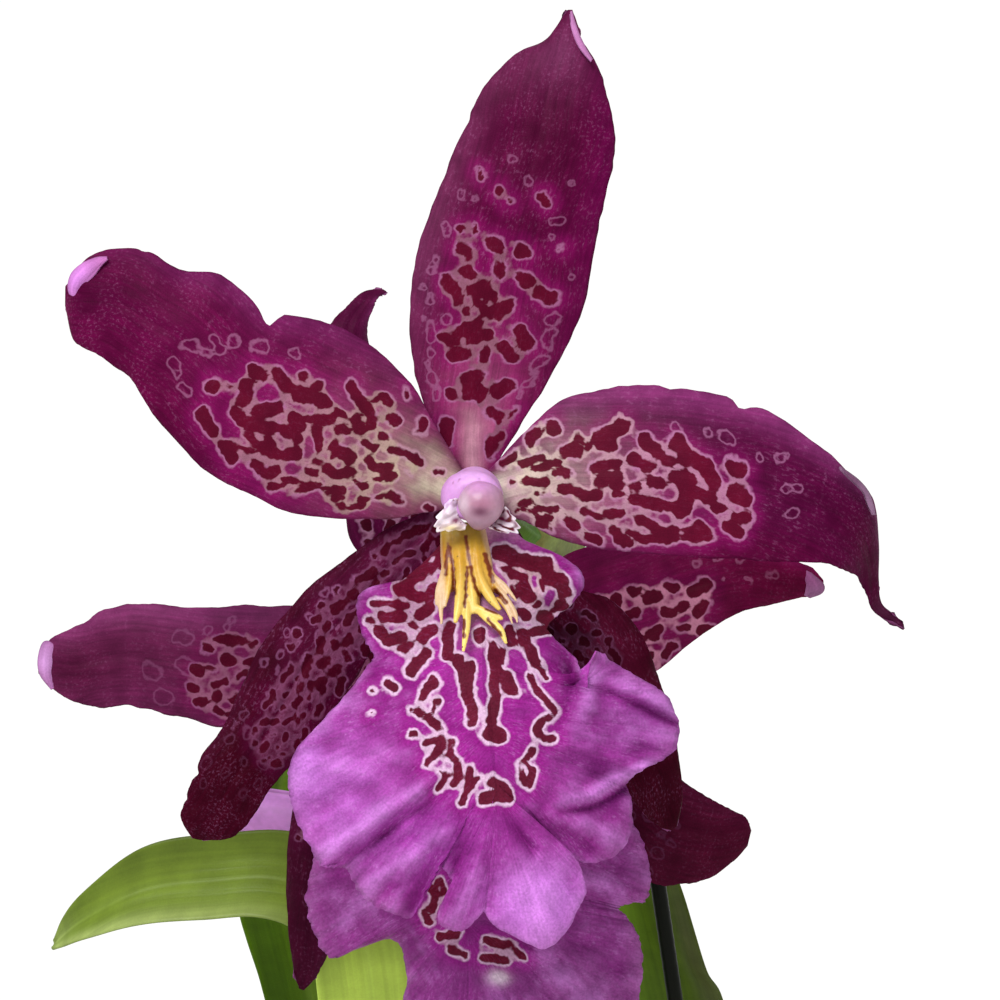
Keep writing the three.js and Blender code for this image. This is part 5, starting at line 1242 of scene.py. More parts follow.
# Callus: ridges of the lip as half width and points x, z, lift, fused into one plate; grooves are
# painted as half width and points x, z
callusLook = {
    "front": {
        "ridges": [
            (0.42, -3.9, -5, 0.6, -3.7, -7.5, 0.8, -3.9, -10, 0.9, -4.6, -12.6, 1.1, -4.9, -14.4, 1.3),
            (0.4, -3.7, -8.5, 0.8, -4, -11.5, 1.1, -4.3, -14, 1.3, -4.2, -16.8, 1.5),
            (0.42, -3, -7.5, 1, -3.1, -10, 1.3, -3.4, -12.5, 1.4, -3.8, -14.6, 1.6),
            (0.62, -2.1, -5, 0.9, -1.9, -8, 1.4, -1.8, -11, 1.7, -2, -14, 1.9, -2.5, -16.6, 2.1),
            (0.5, -0.9, -12, 1.4, -1, -14.5, 1.7, -1.1, -17.2, 1.9, -1.5, -20.2, 2.1),
            (0.75, -0.6, -10, 1.3, -0.4, -12.5, 1.6, -0.1, -15.4, 1.8),
            (0.62, -0.1, -5, 0.9, 0.2, -8, 1.4, 0.6, -10.9, 1.7, 1.8, -13.3, 1.9, 3.1, -15, 2.1),
            (0.5, -0.2, -14.6, 1.6, 1.2, -15.2, 1.9, 2.4, -15.7, 2.1, 3.5, -16.1, 2.3),
            (0.48, 0.6, -15.2, 1.7, 1.9, -16.4, 2, 3.1, -17.4, 2.2, 3.9, -19.2, 2.4),
            (0.36, 0.8, -6, 0.7, 1.4, -8.6, 0.9, 2.2, -10.6, 1.1, 3.7, -12, 1.3, 5.2, -13.9, 1.5),
            (0.34, 1.6, -10, 0.9, 2.6, -12, 1.2, 3.8, -13.4, 1.4, 4.9, -15.2, 1.6, 5.3, -16.6, 1.7),
            (0.3, 2.7, -13.4, 1.2, 3.9, -14.8, 1.4, 4.7, -16.8, 1.6),
        ],
        "mound": [
            (1.2, -3.2, -4.6, -0.1, -3.1, -9, 0.4, -3.1, -12.6, 0.7),
            (1.4, -1.9, -4.6, 0, -1.8, -9, 0.5, -1.5, -14, 0.9),
            (1.4, -0.8, -4.6, 0.1, -0.5, -9, 0.5, 0, -14.8, 1),
            (1.3, 0, -4.8, 0, 0.9, -9.5, 0.4, 1.7, -13.2, 0.8), (1, 2.2, -11.4, 0.4, 3.4, -13.6, 0.7),
        ],
        "grooves": [
            (0.12, -1.2, -5.9, -0.8, -8.3, -0.4, -10.6, 0.2, -12.5, 1.1, -14.1, 1.6, -15),
            (0.1, -1, -9.6, -1.1, -11.5, -1.3, -14.6), (0.14, -3.4, -6.7, -2.8, -9.4, -2.6, -13),
            (0.14, -3.5, -7.6, -3.7, -10.5), (0.1, 1.4, -14.9, 2.8, -15.4), (0.12, 1.6, -16.1, 3.3, -18.2),
            (0.12, -1.4, -16.2, -1.4, -18.4), (0.2, 1.2, -8, 2.2, -11.4), (0.2, 2.6, -12.6, 3.8, -14),
        ],
    },
    "rear": {
        "ridges": [
            (0.6, -5.4, -27.5, 0.7, -5, -32, 1, -5.4, -38.5, 1.6),
            (0.6, -2.6, -27.5, 0.7, -1.8, -32, 1, -0.4, -38.5, 1.6),
            (0.55, -4, -27.5, 0.8, -3.6, -33, 1.1, -3.2, -37, 1.6),
        ],
        "mound": [(1.8, -4, -27, 0, -3.4, -31, -0.4, -3, -34, -0.9)],
        "grooves": [(0.2, -4.4, -30, -4.3, -36), (0.2, -2.8, -30, -2.2, -36)],
    },
    "voxel": 0.15,
    "high": "#c6952a",
    "low": "#a06418",
    "tip": "#eed070",
    "groove": "#6c2a08",
    "edge": "#d0ae88",
    "foot": "#96822c",
    "fleck": "#3a2a1e",
    "flecks": [
        (0.1, -2.2, -8.3), (0.13, -1.8, -17.8), (0.1, 1.9, -14), (0.12, 3.2, -17.8), (0.1, -1.6, -19.6),
    ],
}


def lipDepthAt(lip, z):
    middle = np.array(lip["middle"])
    return np.interp(-z, -middle[:, 1], middle[:, 2])


def callusShell(spec, lip):
    shells = []
    for half, *path in spec["mound"] + spec["ridges"]:
        rows = np.array(path, float).reshape(-1, 3)
        depth = lipDepthAt(lip, rows[:, 1]) - rows[:, 2]
        radius = np.full(len(rows), half)
        radius[-1] *= 0.45
        centre = fromPlane(rows[:, 0], depth, rows[:, 1])
        shells.append(stemShell(np.column_stack([centre, radius]), 24, 12))
    return combined([{**shell, "fields": {}} for shell in shells])


# Fuses overlapping closed shells into one skin
def fused(name, shell, voxel, smoothing):
    mesh = bpy.data.meshes.new(name)
    mesh.from_pydata(shell["points"].tolist(), [], shell["triangles"].tolist())
    rough = bpy.data.objects.new(name, mesh)
    bpy.context.scene.collection.objects.link(rough)
    remesh = rough.modifiers.new("fuse", "REMESH")
    remesh.mode = "VOXEL"
    remesh.voxel_size = voxel
    smooth = rough.modifiers.new("soften", "SMOOTH")
    smooth.iterations = smoothing
    evaluated = rough.evaluated_get(bpy.context.evaluated_depsgraph_get())
    result = evaluated.to_mesh()
    result.calc_loop_triangles()
    points = np.zeros(len(result.vertices) * 3)
    result.vertices.foreach_get("co", points)
    triangles = np.zeros(len(result.loop_triangles) * 3, int)
    result.loop_triangles.foreach_get("vertices", triangles)
    evaluated.to_mesh_clear()
    bpy.data.objects.remove(rough)
    bpy.data.meshes.remove(mesh)
    return {"points": points.reshape(-1, 3), "triangles": triangles.reshape(-1, 3), "fields": {}}


# Plain wax-like skin whose colour comes from the mesh, with fine unevenness
def paintedMaterial(name, look):
    material, tree = newMaterial(name)
    place = attribute(tree, look.get("place", "plane"))
    fine = noiseAt(tree, place, look["scale"], 4)
    broad = noiseAt(tree, place, look["scale"] * 0.2, 2)
    colour = greyed(tree, attribute(tree, "ground", "Color"), fine, look["depth"])
    colour = greyed(tree, colour, broad, look["depth"])
    bump = addNode(tree, "ShaderNodeBump", {
        "Height": fine, "Strength": look["bump"], "Distance": look["relief"] * 0.001})
    surface = addNode(tree, "ShaderNodeBsdfPrincipled", {
        "Base Color": colour, "Roughness": look["roughness"], "IOR": 1.42, "Normal": bump.outputs[0],
        "Specular IOR Level": look["specular"], "Subsurface Weight": look["glow"],
        "Subsurface Radius": (0.6, 0.4, 0.25), "Subsurface Scale": 0.001})
    finishMaterial(tree, surface)
    return material


# Callus: waxy yellow that looks wet and lit from within
callusSkin = paintedMaterial("callus_yellow_wax", {
    "scale": 2.2, "depth": 0.08, "bump": 0.3, "relief": 0.15, "roughness": 0.36, "specular": 0.5,
    "glow": 0.15})
# Column and wings: pale lilac porcelain with wine specks
columnSkin = paintedMaterial("column_lilac_flesh", {
    "scale": 2, "depth": 0.06, "bump": 0.3, "relief": 0.12, "roughness": 0.4, "specular": 0.45, "glow": 0.15})
# Anther cap: a smooth rosy pearl
antherSkin = paintedMaterial("anther_cap_rosy_pearl", {
    "scale": 1.6, "depth": 0.07, "bump": 0.25, "relief": 0.12, "roughness": 0.32, "specular": 0.5,
    "glow": 0.2})
# Bud: a closed lilac flower, softly mottled
budSkin = paintedMaterial("bud_lilac_skin", {
    "scale": 1.2, "depth": 0.1, "bump": 0.3, "relief": 0.2, "roughness": 0.45, "specular": 0.4, "glow": 0.1})
# Spike, ovaries and bracts: fresh green stem with fine length-wise lines
stemSkin = paintedMaterial("stem_fresh_green", {
    "place": "grain", "scale": 1.4, "depth": 0.14, "bump": 0.35, "relief": 0.2, "roughness": 0.45,
    "specular": 0.2, "glow": 0})
# Pseudobulbs: ribbed green-yellow skin with dry brown streaks
bulbSkin = paintedMaterial("pseudobulb_ribbed_green", {
    "place": "grain", "scale": 0.8, "depth": 0.18, "bump": 0.5, "relief": 0.4, "roughness": 0.45,
    "specular": 0.45, "glow": 0})
# Stake: thin dark coated rod, slightly glossy
stakeSkin = paintedMaterial("stake_dark_coating", {
    "place": "grain", "scale": 1.2, "depth": 0.12, "bump": 0.25, "relief": 0.1, "roughness": 0.4,
    "specular": 0.12, "glow": 0})


for name, lip in (("front", frontLip), ("rear", rearLip)):
    shell = fused(f"{name}_callus_rough", callusShell(callusLook[name], lip), callusLook["voxel"], 6)
    points = shell["points"]
    spread = 1 + points[:, 1] / bloom["eyeDistance"]
    x = bloom["aim"][0] + (points[:, 0] - bloom["aim"][0]) / spread
    z = bloom["aim"][1] + (points[:, 2] - bloom["aim"][1]) / spread
    lift = lipDepthAt(lip, z) - points[:, 1]
    middleX = np.interp(-z, -np.array(lip["middle"])[:, 1], np.array(lip["middle"])[:, 0])
    top = lip["middle"][0][1]
    # Colour by height: darker orange-brown low and brighter yellow high, as painted shade between the ridges
    # and painted light on them; the cream on raised tips is partly the teeth's own cream and partly painted
    # highlight
    colour = linear(callusLook["low"]) + np.zeros((len(x), 3))
    colour = tinted(colour, callusLook["high"], np.clip((lift - 1.1) / 0.7, 0, 1))
    raised = np.clip((lift - 1.2) / 0.7, 0, 1)
    colour = tinted(colour, callusLook["tip"], np.clip((top - z - 5) / 8 * raised, 0, 1))
    colour = tinted(colour, callusLook["foot"], np.clip((z - top + 4) / 3.5, 0, 1))
    edge = (np.abs(x - middleX + 2.3 - 0.155 * (top - z - 1.1)) - 2.3 - 0.09 * (top - z - 1.1)) / 0.7
    colour = tinted(colour, callusLook["edge"], np.clip(edge, 0, 1))
    for half, *path in callusLook[name]["grooves"]:
        distance = pathDistance(x, z, path)[0] + 0.08 * unevenness(3, 0.9, x, z)
        colour = tinted(colour, callusLook["groove"], np.clip((half + 0.18 - distance) / 0.16, 0, 1))
    flecks = [(half, x0, z0 + top + 3.9) for half, x0, z0 in callusLook["flecks"]]
    flecks = markDistance(x, z, flecks, 0.02)[0]
    colour = tinted(colour, callusLook["fleck"], np.clip(-flecks / 0.05, 0, 1))
    shell["fields"] = {"ground": colour, "plane": stacked(x, 0 * x, z)}
    makePiece(f"{name}_callus_ridges", placed(shell, tilted), callusSkin, [f"{name}_callus"])
print("calluses built")


# Column: a hood over the anther cap and a toothed wing to each side, about the bloom's own centre
columnShape = {
    "rings": 44,
    "sides": 72,
    # depth, middle x and z, half width and half height, from the back to the rim and into the mouth
    "hood": [
        (1.9, -0.1, -0.1, 3.1, 3.1), (-1, -0.1, -0.2, 3.4, 3.05), (-3.6, -0.3, -0.5, 3.75, 3),
        (-5.6, -0.45, -0.65, 3.8, 3.1), (-7, -0.2, -0.85, 3.6, 3), (-7.8, 0.25, -1.2, 3.1, 2.7),
        (-8, 0.6, -1.5, 2.4, 2.2), (-7.4, 0.7, -1.6, 1.6, 1.6),
    ],
    "wings": {
        -1: {"base": [(-2, -1), (-2.2, -2.2), (-2, -3.4), (-1.1, -4.4)],
             "rim": [(-3.2, -1.2), (-4, -2.4), (-4.9, -3.9), (-5.1, -4.9), (-3.9, -5.2),
                     (-2.5, -5), (-1.2, -4.9)],
             "patches": [("#6a1440", -2.4, -3.8, 0.6, 0.5, 0.95), ("#d3ace0", -3.3, -1.6, 0.9, 0.7, 0.8),
                         ("#c9b46a", -2.9, -4.7, 1.3, 0.45, 0.8)],
             "streaks": 0.4, "depth": -7.7},
        1: {"base": [(3.2, -1.9), (3.2, -3.1), (2.6, -4.1), (1.7, -4.6)],
            "rim": [(3.9, -2.1), (4.5, -3), (5.2, -3.9), (5.5, -5), (4.6, -5.3), (3.5, -5.2), (2.3, -4.8)],
            "patches": [("#7a2448", 3.5, -3.4, 0.8, 0.9, 0.8)],
            "streaks": 1.1, "depth": -6.8},
    },
    "wingTeeth": 6,
    "top": "#dca6e2",
    "side": "#c98fcc",
    "inside": "#b86f9e",
    "white": "#eedfec",
    "wine": "#6a1440",
}


def hoodRings():
    turn = 2 * np.pi * np.arange(columnShape["sides"])[None, :] / columnShape["sides"]
    t = np.linspace(0, 1, columnShape["rings"])[:, None]
    depth, middleX, middleZ, halfWidth, halfHeight = np.moveaxis(curveAt(columnShape["hood"], t), -1, 0)
    pucker = 1 + 0.02 * np.cos(5 * turn + 1) * t + 0.012 * np.cos(11 * turn) * t
    x = middleX + halfWidth * pucker * np.cos(turn)
    z = middleZ + halfHeight * pucker * np.sin(turn)
    return stacked(x, depth + 0 * turn, z), np.clip((t - 0.82) / 0.1, 0, 1) + 0 * turn


def columnShell(move):
    rings, inside = hoodRings()
    x, z = rings[..., 0], rings[..., 2]
    colour = painted(x, z, columnShape["side"], [(columnShape["top"], 0, 3, 4, 2.4, 0.9)])
    colour = tinted(colour, columnShape["inside"], inside)
    specks = markDistance(x, rings[..., 1] + 0 * z, strewnSpecks(91, 30, (-3.9, 3.4), (-8.6, -1)), 0.05)[0]
    colour = tinted(colour, columnShape["wine"], np.clip(-specks / 0.12, 0, 1) * 0.8)
    shells = [ringShell(rings, {"ground": colour, "plane": stacked(x, rings[..., 1], z)})]
    for sign in (-1, 1):
        shells.append(wingShell(sign))
    return placed(combined(shells), lambda points: tilted(points + move))


def strewnSpecks(seed, count, across, along):
    draw = np.random.default_rng(seed)
    return [(draw.uniform(0.08, 0.16), draw.uniform(*across), draw.uniform(*along)) for _ in range(count)]


# A white flap with a wine patch and a toothed fringe, beside the anther cap
def wingShell(sign):
    wing = columnShape["wings"][sign]
    s = np.linspace(0, 1, 120)[:, None]
    t = np.linspace(0, 1, 24)[None, :]
    base = curveAt(wing["base"], s)
    rim = curveAt(wing["rim"], s)
    count = columnShape["wingTeeth"]
    lengths = np.random.default_rng(60 + sign).uniform(0.35, 1, count + 1)
    place = np.clip(s * count, 0, count - 0.001)
    tooth = (1 - np.abs(2 * (place - np.floor(place)) - 1)) * lengths[place.astype(int)]
    reach = t * (0.84 + 0.32 * tooth * t**3)
    x = base[..., 0] + (rim[..., 0] - base[..., 0]) * reach
    z = base[..., 1] + (rim[..., 1] - base[..., 1]) * reach
    depth = wing["depth"] - 1.0 * np.sin(np.pi * t * 0.7) + 0.25 * np.sin(14 * s) * t
    colour = painted(x, z, columnShape["white"], wing["patches"])
    streak = np.clip(0.2 + 1.3 * unevenness(7, 0.2, s, 0.4 * t), 0, 1) * wing["streaks"] * (1 - t**14)
    colour = tinted(colour, columnShape["wine"], streak)
    specks = markDistance(x, z, strewnSpecks(17 + sign, 40, (-6, 6), (-5.6, -1)), 0.05)[0]
    colour = tinted(colour, columnShape["wine"], np.clip(-specks / 0.1, 0, 1) * 0.8)
    fields = {"ground": colour, "plane": stacked(x, depth, z)}
    return sheetShell(stacked(x, depth, z), 0.35 * (1 - 0.5 * t + 0 * s), (0, -1, 0), fields)


antherCap = {
    "centre": (0.78, -8.3, -1.75),
    "radius": 2.88,
    "beak": (0.35, -9.2, -5),
    "colour": "#b0869c",
    "patches": [
        ("#c88cc4", 0.6, 0.6, 2.4, 1.2, 0.9), ("#a86c88", 0.9, -1.7, 1.6, 1.1, 0.8),
        ("#d6c2ce", -1.4, -1.5, 0.7, 1.4, 0.6), ("#5e2244", 0.7, -2.7, 1.1, 0.7, 0.9),
        ("#84687a", 0.2, -4.2, 1.1, 0.6, 0.6), ("#4a1830", 0.4, -5, 0.8, 0.2, 0.7),
    ],
}


def antherShell(move):
    polar = np.linspace(0.02, np.pi - 0.02, 44)[:, None]
    turn = 2 * np.pi * np.arange(64)[None, :] / 64
    direction = stacked(np.sin(polar) * np.cos(turn), -np.cos(polar) + 0 * turn, np.sin(polar) * np.sin(turn))
    toBeak = unit(np.array(antherCap["beak"]) - np.array(antherCap["centre"]))
    along = np.clip(direction @ toBeak, 0, 1)
    ripple = 0.015 * np.sin(5 * turn + 3 * polar) * np.sin(polar) ** 2
    radius = antherCap["radius"] * (1 + 0.13 * along**6 + ripple)
    points = direction * radius[..., None]
    points[..., 0] *= 1 - 0.17 * np.clip(-points[..., 2] / 3, 0, 1)
    points = points + np.array(antherCap["centre"])
    x, z = points[..., 0], points[..., 2]
    colour = painted(x, z, antherCap["colour"], antherCap["patches"])
    shell = ringShell(points, {"ground": colour, "plane": stacked(x, points[..., 1], z)})
    return placed(shell, lambda points: tilted(points + move))


for name, centre in (("front", (0, 0, 0)), ("rear", (-4, 35, -19.4))):
    move = fromPlane(*(np.array(number, float) for number in centre))
    makePiece(f"{name}_column_hood", columnShell(move), columnSkin, [f"{name}_column"])
    makePiece(f"{name}_anther_pearl", antherShell(move), antherSkin, [f"{name}_anther_cap"])
print("columns built")


# Spike, in the frame of the whole plant: rows of x, y, z and radius
spike = {
    "stem": [
        (-4, -2, 88, 3.1), (-4, -2, 130, 3), (-3, -3, 190, 2.8), (-1, -6, 245, 2.6), (0, -9.4, 285, 2.5),
        (-0.6, -12.8, 315, 2.4), (-2.4, -16, 338, 2.4), (-3.6, -17.4, 352, 2.3), (-4.3, -17.8, 360, 1.4),
        (-4.5, -17.8, 363, 0.5),
    ],
    "joints": {"front": (-3.6, -17.3, 351.4), "rear": (-1.2, -13.8, 322)},
    "centres": {"front": (0, 0, 0), "rear": (-4, 35, -19.4)},
    "nodes": [0.16, 0.4, 0.62, 0.8],
    "budStalk": [(-12.6, -43.2, 69.8), (-4, -45.5, 68), (5, -49, 65), (11.8, -52.6, 62)],
    "green": "#4f7c14",
    "lit": "#6c9a24",
    "blush": "#6b3350",
    "bract": "#8a9a4e",
    "dry": "#8a6a3c",
}


def spikeShell():
    def stemPaint(u, turn):
        ring = sum(np.exp(-(((u - at) / 0.006) ** 2)) for at in spike["nodes"]) + 0 * turn
        colour = painted(u + 0 * turn, turn + 0 * u, spike["green"], [(spike["lit"], 0.3, 2, 0.3, 2.5, 0.6)])
        return {"ground": tinted(colour, spike["dry"], 0.7 * np.clip(ring, 0, 1))}

    def stemWidth(u, turn):
        knots = sum(np.exp(-(((u - at) / 0.008) ** 2)) for at in spike["nodes"])
        return 1 + 0.14 * knots + 0.02 * np.cos(6 * turn)

    def ovaryPaint(u, turn):
        share = np.clip((u - 0.35) / 0.4, 0, 1) + 0 * turn
        return {"ground": tinted(linear(spike["green"]), spike["blush"], share)}

    def ovaryWidth(u, turn):
        return 1 + 0.07 * np.cos(6 * turn + 2.5 * u)

    def bractPaint(u, turn):
        share = np.clip((u - 0.6) / 0.4, 0, 1) + 0 * turn
        return {"ground": tinted(linear(spike["bract"]), spike["dry"], share)}

    shells = [stemShell(spike["stem"], 420, 36, stemWidth, stemPaint)]
    for name, joint in spike["joints"].items():
        x, depth, z = spike["centres"][name]
        joint = np.array(joint)
        top = toPlant(x, depth + 4.65, z)
        neck = toPlant(x + 0.3, depth + 13.65, z - 0.6)
        waist = neck + (joint - neck) * 0.55 + np.array([0, 0, -1])
        rows = [(*joint, 1.3), (*waist, 1.9), (*neck, 2), (*top, 2.3)]
        shells.append(stemShell(rows, 80, 30, ovaryWidth, ovaryPaint))
        reach = neck - joint
        bract = [(*(joint - 0.08 * reach), 3.9), (*(joint + 0.12 * reach), 3.8),
                 (*(joint + 0.3 * reach - (0, 0, 1)), 2.4), (*(joint + 0.42 * reach - (0, 0, 2.2)), 0.4)]
        shells.append(stemShell(bract, 40, 30, lambda u, turn: 1 + 0.03 * np.cos(9 * turn), bractPaint))
    stalk = [(*toPlant(x, depth, z), 1.2) for x, z, depth in spike["budStalk"]]
    shells.append(stemShell(stalk, 60, 20, None, ovaryPaint))
    return combined(shells)


makePiece("flower_spike_stem", spikeShell(), stemSkin, ["flower_spike"])

# Bud: rows of x, z, depth and radius; three sepals close over it
budShape = {
    "rows": [
        (-13.5, -43.2, 70, 1.3), (-16, -43.4, 70.5, 3.6), (-20, -42.6, 71, 4.7), (-25, -41.4, 71.6, 4.6),
        (-30, -39.8, 72.4, 3.4), (-34, -38.2, 73, 1.2), (-35, -37.8, 73.2, 0.3),
    ],
    "skin": "#d48ddb",
    "seam": "#7a3d74",
    "foot": "#9fae62",
}


def budShell():
    def width(u, turn):
        return 1 - 0.1 * np.exp(-((np.sin(1.5 * turn + 0.6 * u) / 0.16) ** 2)) * np.sin(np.pi * u)

    def paint(u, turn):
        seam = np.exp(-((np.sin(1.5 * turn + 0.6 * u) / 0.22) ** 2)) * 0.6
        foot = [(budShape["foot"], 0, 3, 0.16, 9, 0.7)]
        colour = painted(u + 0 * turn, turn + 0 * u, budShape["skin"], foot)
        colour = tinted(colour, budShape["seam"], seam)
        return {"ground": colour, "plane": stacked(u * 22, 4 * np.cos(turn), 4 * np.sin(turn))}

    rows = [(*toPlant(x, depth, z), radius) for x, z, depth, radius in budShape["rows"]]
    return stemShell(rows, 120, 60, width, paint)


makePiece("bud_closed_flower", budShell(), budSkin, ["bud"])

stake = {
    "foot": (47.6, -3.6, 61),
    "top": (2.7, -12.2, 361),
    "radius": 1.1,
    "colour": "#080b04",
    "tip": "#1c2018",
}


def stakeShell():
    rows = [(*stake["foot"], stake["radius"]), (*stake["top"], stake["radius"])]
    def paint(u, turn):
        tip = [(stake["tip"], 1, 3, 0.1, 9, 0.8)]
        return {"ground": painted(u + 0 * turn, turn + 0 * u, stake["colour"], tip)}
    def width(u, turn):
        return 1 - 0.35 * np.clip((u - 0.994) / 0.006, 0, 1) ** 2 + 0.02 * np.sin(900 * u)
    return stemShell(rows, 300, 28, width, paint)


makePiece("stake_rod", stakeShell(), stakeSkin, ["stake"])
print("spike, bud and stake built")


# Leaves seen in the picture: rows from foot to tip, each edge with x, z and depth
seenLeaves = {
    "left_arching_leaf": [
        (-9.6, -146, 72.5, -12.4, -146, 71.5), (-7, -126.2, 69, -12, -126.2, 67),
        (-5.4, -101.2, 64, -15, -101.2, 60), (-5.1, -82.5, 62, -17.5, -82.5, 57),
        (-5.2, -70, 60, -18.8, -70, 55), (-5.6, -60.6, 58, -19.6, -62.8, 54),
        (-7.9, -51.9, 57, -20.4, -57.8, 53), (-14.4, -45.2, 56, -23.1, -54.5, 52),
        (-23.8, -42.4, 56, -28.1, -53.1, 52), (-32.5, -42.8, 57, -34.4, -53.5, 53),
        (-39.4, -43.9, 58, -40.6, -54.1, 55), (-44.4, -46.2, 59, -45.6, -55, 57),
        (-49.2, -50.3, 61, -49.2, -56.1, 60), (-51.6, -53.4, 62, -51.5, -57, 61.6),
        (-52.8, -56.3, 63, -52.9, -57.4, 63),
    ],
    "left_upright_leaf": [
        (-6.6, -140.4, 105.5, -9.4, -140.4, 104.5), (-10.9, -122, 99, -17.1, -122, 97),
        (-11.9, -101.2, 93, -21.9, -101.2, 89), (-12.4, -82.5, 91, -24, -82.5, 86),
        (-12.9, -70, 90, -25.1, -68.8, 85), (-13.6, -62.5, 90, -26.6, -61.9, 85),
        (-14.6, -55, 90, -28.4, -56.2, 85), (-15.9, -48.8, 90, -29.4, -52.5, 85),
        (-17.6, -42.5, 90, -29.9, -47.5, 85), (-20, -37.8, 90, -28.9, -41.9, 86),
        (-21.6, -35.9, 90, -27, -38, 88), (-23.3, -34.2, 90, -24.5, -34.8, 89.6),
    ],
    "right_upright_leaf": [
        (27, -142.4, 93.5, 24.2, -142.4, 94.5), (28, -126.2, 86, 22.5, -126.2, 88),
        (31.2, -107.5, 78, 21.2, -107.5, 82), (32.9, -88.8, 74, 20.6, -88.8, 79),
        (32.4, -73.8, 73, 20, -76.2, 78), (30.8, -63.8, 73, 19.1, -65, 78),
        (28.9, -60.2, 73, 17.9, -57.5, 78), (27.1, -54.8, 74, 16.9, -51.2, 78),
        (25.4, -49.2, 75, 16.5, -45.6, 78), (23.4, -43.8, 77, 17.1, -41.5, 79),
        (20.2, -39, 80, 19.1, -38.6, 80),
    ],
}
# Leaves below the picture's edge: foot, heading, length, half width, rise and bend in degrees
freeLeaves = {
    "right_arching_leaf": {"foot": (20, 7.4, 184.8), "heading": 22, "length": 150, "half": 12, "rise": 74,
        "bend": 112},
    "back_arching_leaf": {"foot": (-23.4, 19.4, 181.8), "heading": 84, "length": 140, "half": 12, "rise": 76,
        "bend": 100},
    "left_low_leaf": {"foot": (-28.6, -17.2, 189.9), "heading": 205, "length": 140, "half": 12, "rise": 70,
        "bend": 118},
    "front_low_leaf": {"foot": (-16, -36.6, 95), "heading": 262, "length": 115, "half": 11, "rise": 82,
        "bend": 108},
    "back_right_leaf": {"foot": (27, 26, 95), "heading": 40, "length": 150, "half": 12, "rise": 84,
        "bend": 98},
}
leafShape = {"along": 120, "across": 32, "thickness": 0.8, "keel": 0.22, "groove": 0.35}
leafPaint = {
    # The bright lime band a third along is a painted pool of light, and the paler strip along the lower edge
    # painted sheen
    "left_arching_leaf": ("#5b6e1f", [
        ("#6f842a", 0.72, 0, 0.2, 0.6, 0.7), ("#93a35c", 0.78, 0.95, 0.3, 0.3, 0.85),
        ("#95a560", 0.97, 0, 0.06, 1, 0.6), ("#c0de58", 0.33, 0, 0.09, 2, 1),
    ]),
    # The dark ground is partly painted shade, and the bright patch along its right edge a painted pool of
    # light
    "left_upright_leaf": ("#466408", [("#a5c44a", 0.45, -1, 0.3, 0.7, 0.95)]),
    # The brighter half left of the stake is painted light and the dark olive half right of it painted shade
    "right_upright_leaf": ("#4d660f", [
        ("#6f9424", 0.7, 0.9, 0.3, 0.4, 0.8), ("#565a35", 0.6, -0.8, 0.3, 0.4, 0.9),
    ]),
}
leafDefault = ("#5a7a22", [("#7d9a3a", 0.6, 0.3, 0.3, 0.7, 0.5), ("#8a8a3c", 1, 0, 0.06, 2, 0.6)])


# Leaf: leathery green, parallel veins, a soft waxy shine
def leafMaterial():
    material, tree = newMaterial("leaf_strap_green")
    grain = attribute(tree, "grain")
    veins = noiseAt(tree, scaled(tree, grain, (1.1, 0.02, 0)), 1, 3)
    mottle = noiseAt(tree, grain, 0.16, 3)
    cells = noiseAt(tree, grain, 2.4, 2)
    colour = greyed(tree, attribute(tree, "ground", "Color"), veins, 0.12)
    colour = greyed(tree, colour, mottle, 0.12)
    colour = greyed(tree, colour, cells, 0.04)
    height = mathOf(tree, "ADD", veins, times(tree, cells, 0.3))
    bump = addNode(tree, "ShaderNodeBump", {"Height": height, "Strength": 0.35, "Distance": 0.0003})
    surface = addNode(tree, "ShaderNodeBsdfPrincipled", {
        "Base Color": colour, "Roughness": 0.4, "IOR": 1.42, "Normal": bump.outputs[0],
        "Specular IOR Level": 0.2})
    finishMaterial(tree, surface)
    return material


leafSkin = leafMaterial()


def leafShell(name, first, second, up):
    u = np.linspace(0, 1, len(first))[:, None]
    v = np.linspace(-1, 1, leafShape["across"])[None, :]
    middle = (first + second) / 2
    width = np.linalg.norm(second - first, axis=-1)[:, None]
    length = np.linalg.norm(np.diff(middle, axis=0), axis=1).sum()
    soft = np.sqrt(v * v + 0.03) - np.sqrt(0.03)
    groove = leafShape["groove"] * np.exp(-((v * width / 1.6) ** 2)) * np.sin(np.pi * u) ** 0.5
    swell = 0.5 * unevenness(len(name), 34, u * length, v * 6) * v**2 * np.sin(np.pi * u)
    sag = leafShape["keel"] * width * (soft * np.abs(v) - 1) - groove + swell
    across = (second - first)[:, None, :] / 2
    points = middle[:, None, :] + across * v[..., None] + up[:, None, :] * sag[..., None]
    ground, patches = leafPaint.get(name, leafDefault)
    rib = np.exp(-((v * width / 1.4) ** 2)) * 0.12
    colour = painted(u + 0 * v, v + 0 * u, ground, patches)
    colour = tinted(colour, "#93a85a", rib)
    fields = {
        "ground": colour,
        "grain": stacked(v * width / 2, u * length, 0 * v),
    }
    thickness = leafShape["thickness"] * (1 - 0.65 * np.abs(v) ** 6)
    return sheetShell(points, thickness, up.mean(axis=0), fields)


def seenLeafShell(name, rows):
    u = np.linspace(0, 1, leafShape["along"])
    def edgesAt(t):
        ax, az, aDepth, bx, bz, bDepth = np.moveaxis(curveAt(rows, t), -1, 0)
        return toPlant(ax, aDepth, az), toPlant(bx, bDepth, bz)
    first, second = edgesAt(u)
    ahead = sum(edgesAt(np.minimum(u + 0.02, 1)))
    behind = sum(edgesAt(np.maximum(u - 0.02, 0)))
    return leafShell(name, first, second, unit(np.cross(ahead - behind, second - first)))


